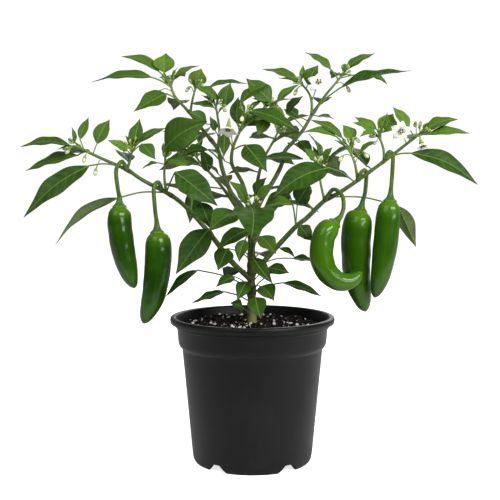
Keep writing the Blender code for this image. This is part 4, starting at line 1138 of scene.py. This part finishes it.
def make_petals(number, centre, axis, side, radius, spread, draws):
    bm = bmesh.new()
    run = bm.verts.layers.float.new("run")
    for k in range(PETALS):
        angle = 2 * math.pi * k / PETALS + draws.uniform(-0.06, 0.06)
        out = Matrix.Rotation(angle, 3, axis) @ side
        wide = axis.cross(out)
        lean, wave = draws.uniform(-0.1, 0.1), draws.uniform(0, 6)
        verts = bmesh.ops.create_grid(bm, x_segments=10, y_segments=8, size=0.5)["verts"]
        faces = dict.fromkeys(face for vert in verts for face in vert.link_faces)
        for vert in verts:
            s, v = vert.co.x + 0.5, vert.co.y * 2
            half = PETAL_WIDTH(s) * radius * 0.47
            reach = 0.8 + (radius - 0.8) * s
            curl = 1.3 * math.sin(math.pi * s) - 2.2 * s * s
            crimp = 0.55 * (1 - abs(v)) * s - 0.35 * math.sin(3 * v + wave + 5 * s) * s
            lift = reach * (1.12 - spread) + curl + crimp
            vert.co = (centre + out * reach * (0.35 + 0.65 * spread + lean * s * 0.3) + axis * lift
                       + wide * v * half * (0.5 + 0.5 * spread))
            vert[run] = s
        lower = bmesh.ops.extrude_face_region(bm, geom=list(faces), use_keep_orig=True)["geom"]
        for vert in (v for v in lower if isinstance(v, bmesh.types.BMVert)):
            vert.co -= axis * PETAL_THICKNESS
    close(bm)
    piece = place_piece(bm, f"flower_{number}_petals", PETAL_WHITE_PAINTED_GLOW, "petals", f"flower_{number}")
    piece.data.set_sharp_from_angle(angle=math.radians(60))


def make_stamens(number, foot, axis, side, spread):
    """The style with its knob, and the ring of anthers on their threads."""
    bm = bmesh.new()
    dark = bm.verts.layers.float.new("dark")

    def style(vert, share, angle):
        return 0.42 + (0.35 if share > 0.9 else 0)

    def stamen(vert, share, angle):
        vert[dark] = 1.0 if share > 0.42 else 0.0
        if share < THREAD_SHARE:
            return 0.25
        return 0.32 + 0.62 * math.sin(math.pi * min(1, (share - THREAD_SHARE) / 0.62)) ** 0.6

    sweep(bm, [foot + axis * STYLE_LENGTH * k / 10 for k in range(11)], 8, style)
    for k in range(PETALS):
        out = Matrix.Rotation(2 * math.pi * (k + 0.5) / PETALS, 3, axis) @ side
        start = foot + out * 0.9
        end = start + axis * STAMEN_LENGTH + out * (1.6 * spread)
        sweep(bm, [start.lerp(end, k / 14) for k in range(15)], 9, stamen)
    close(bm)
    place_piece(bm, f"flower_{number}_anthers", ANTHER, "stamens", f"stamens_{number}")


PETAL_WIDTH = rule(PETAL_SHAPE)
PETAL_WHITE_PAINTED_GLOW = petal_white_painted_glow()
ANTHER = anther_olive()
flower_draws = random.Random(FLOWER_SEED)
for number, (name, root, centre, axis, radius, spread) in enumerate(FLOWERS, 1):
    centre, axis = Vector(centre), Vector(axis).normalized()
    side = axis.orthogonal().normalized()
    make_flower_stalk(number, name, Vector(root), centre - axis * 0.3, axis)
    make_petals(number, centre, axis, side, radius, spread, flower_draws)
    make_stamens(number, centre + axis * 0.6, axis, side, spread)

# -------------------------------------------------------------------------------------------------
# Studio. A seamless white sweep, a wide soft key from the upper left front, a weaker light from behind, and
# two wide boxes, one above the other, at the right front that draw the broken highlights on the fruits. The
# camera stands at the height of the branches and looks slightly down.

SWEEP_REACH = 4000
AMBIENT = 0.4
BACKDROP = 1.05
MIRRORED_FRONT = 0.03
MIRRORED_BACK = 0.33


def make_floor():
    """The sweep. Shiny skins mirror it unlit, and black in front of the plant."""
    finish = Finish("white_sweep", {"Roughness": 0.9, "Specular IOR Level": 0.1, "Emission Strength": 0.75})
    tone = finish.noise(3, 2, 0.5)
    mirrored = finish.node("LightPath")["Is Glossy Ray"]
    front = finish.split(finish.place())["Y"] * -1
    white = finish.mix(tone, (0.9, 0.9, 0.9), (0.93, 0.93, 0.93))
    finish.feed(Base_Color=finish.mix(mirrored * front.rise(0.25, 0.6), white, (0, 0, 0)),
                Emission_Color=finish.mix(mirrored, (1, 1, 1), (0, 0, 0)))
    bm = bmesh.new()
    bmesh.ops.create_grid(bm, x_segments=1, y_segments=1, size=SWEEP_REACH)
    floor = as_object(bm, "sweep")
    floor.data.materials.append(finish.material)
    floor.visible_diffuse = False


def make_world():
    """A pale surround, white to the eye, and dim where a shiny skin mirrors it from the front."""
    world = bpy.data.worlds.new("studio")
    world.use_nodes = True
    graph = Graph(world.node_tree)
    sky = graph.tree.nodes["Background"]
    sky.inputs["Color"].default_value = (1, 1, 1, 1)
    ray = graph.node("LightPath")
    behind = graph.split(graph.node("TexCoord")["Generated"])["Y"]
    mirrored = graph.node("MapRange", {}, {"Value": behind, "From Max": 0.7, "To Min": MIRRORED_FRONT,
                                           "To Max": MIRRORED_BACK})["Result"]
    cast = graph.node("MapRange", {}, {"Value": ray["Is Glossy Ray"], "To Min": AMBIENT,
                                       "To Max": mirrored})["Result"]
    seen = graph.node("MapRange", {}, {"Value": ray["Is Camera Ray"], "To Min": cast,
                                       "To Max": BACKDROP})["Result"]
    graph.tree.links.new(seen.socket, sky.inputs["Strength"])
    bpy.context.scene.world = world


def make_light(name, place, aim, width, height, power):
    light = bpy.data.lights.new(name, "AREA")
    light.shape = "RECTANGLE"
    light.size, light.size_y = width, height
    light.energy = power
    lamp = bpy.data.objects.new(name, light)
    lamp.location = place
    lamp.rotation_euler = (Vector(aim) - Vector(place)).to_track_quat("-Z", "Y").to_euler()
    bpy.context.collection.objects.link(lamp)


def make_camera():
    data = bpy.data.cameras.new("camera")
    data.lens = 69.84
    data.sensor_width = 36
    data.shift_x = -0.0048
    camera = bpy.data.objects.new("camera", data)
    camera.location = (0, -0.967, 0.290)
    camera.rotation_euler = (math.radians(90 - 4.6), 0, 0)
    bpy.context.collection.objects.link(camera)
    bpy.context.scene.camera = camera


make_floor()
make_world()
make_light("key", (-0.8, -1.2, 1.5), (0, 0, 0.25), 1.4, 1.2, 14)
make_light("back", (0.5, 1.6, 0.95), (0, 0, 0.25), 1.4, 0.8, 10)
make_light("upper_box", (0.85, -0.98, 1.0), (0, 0, 0.2), 1.0, 0.42, 20)
make_light("lower_box", (0.85, -0.98, 0.42), (0, 0, 0.2), 0.6, 0.13, 3.2)
make_camera()
view = bpy.context.scene.view_settings
view.view_transform = "Standard"
view.look = "None"
view.exposure = 0.0
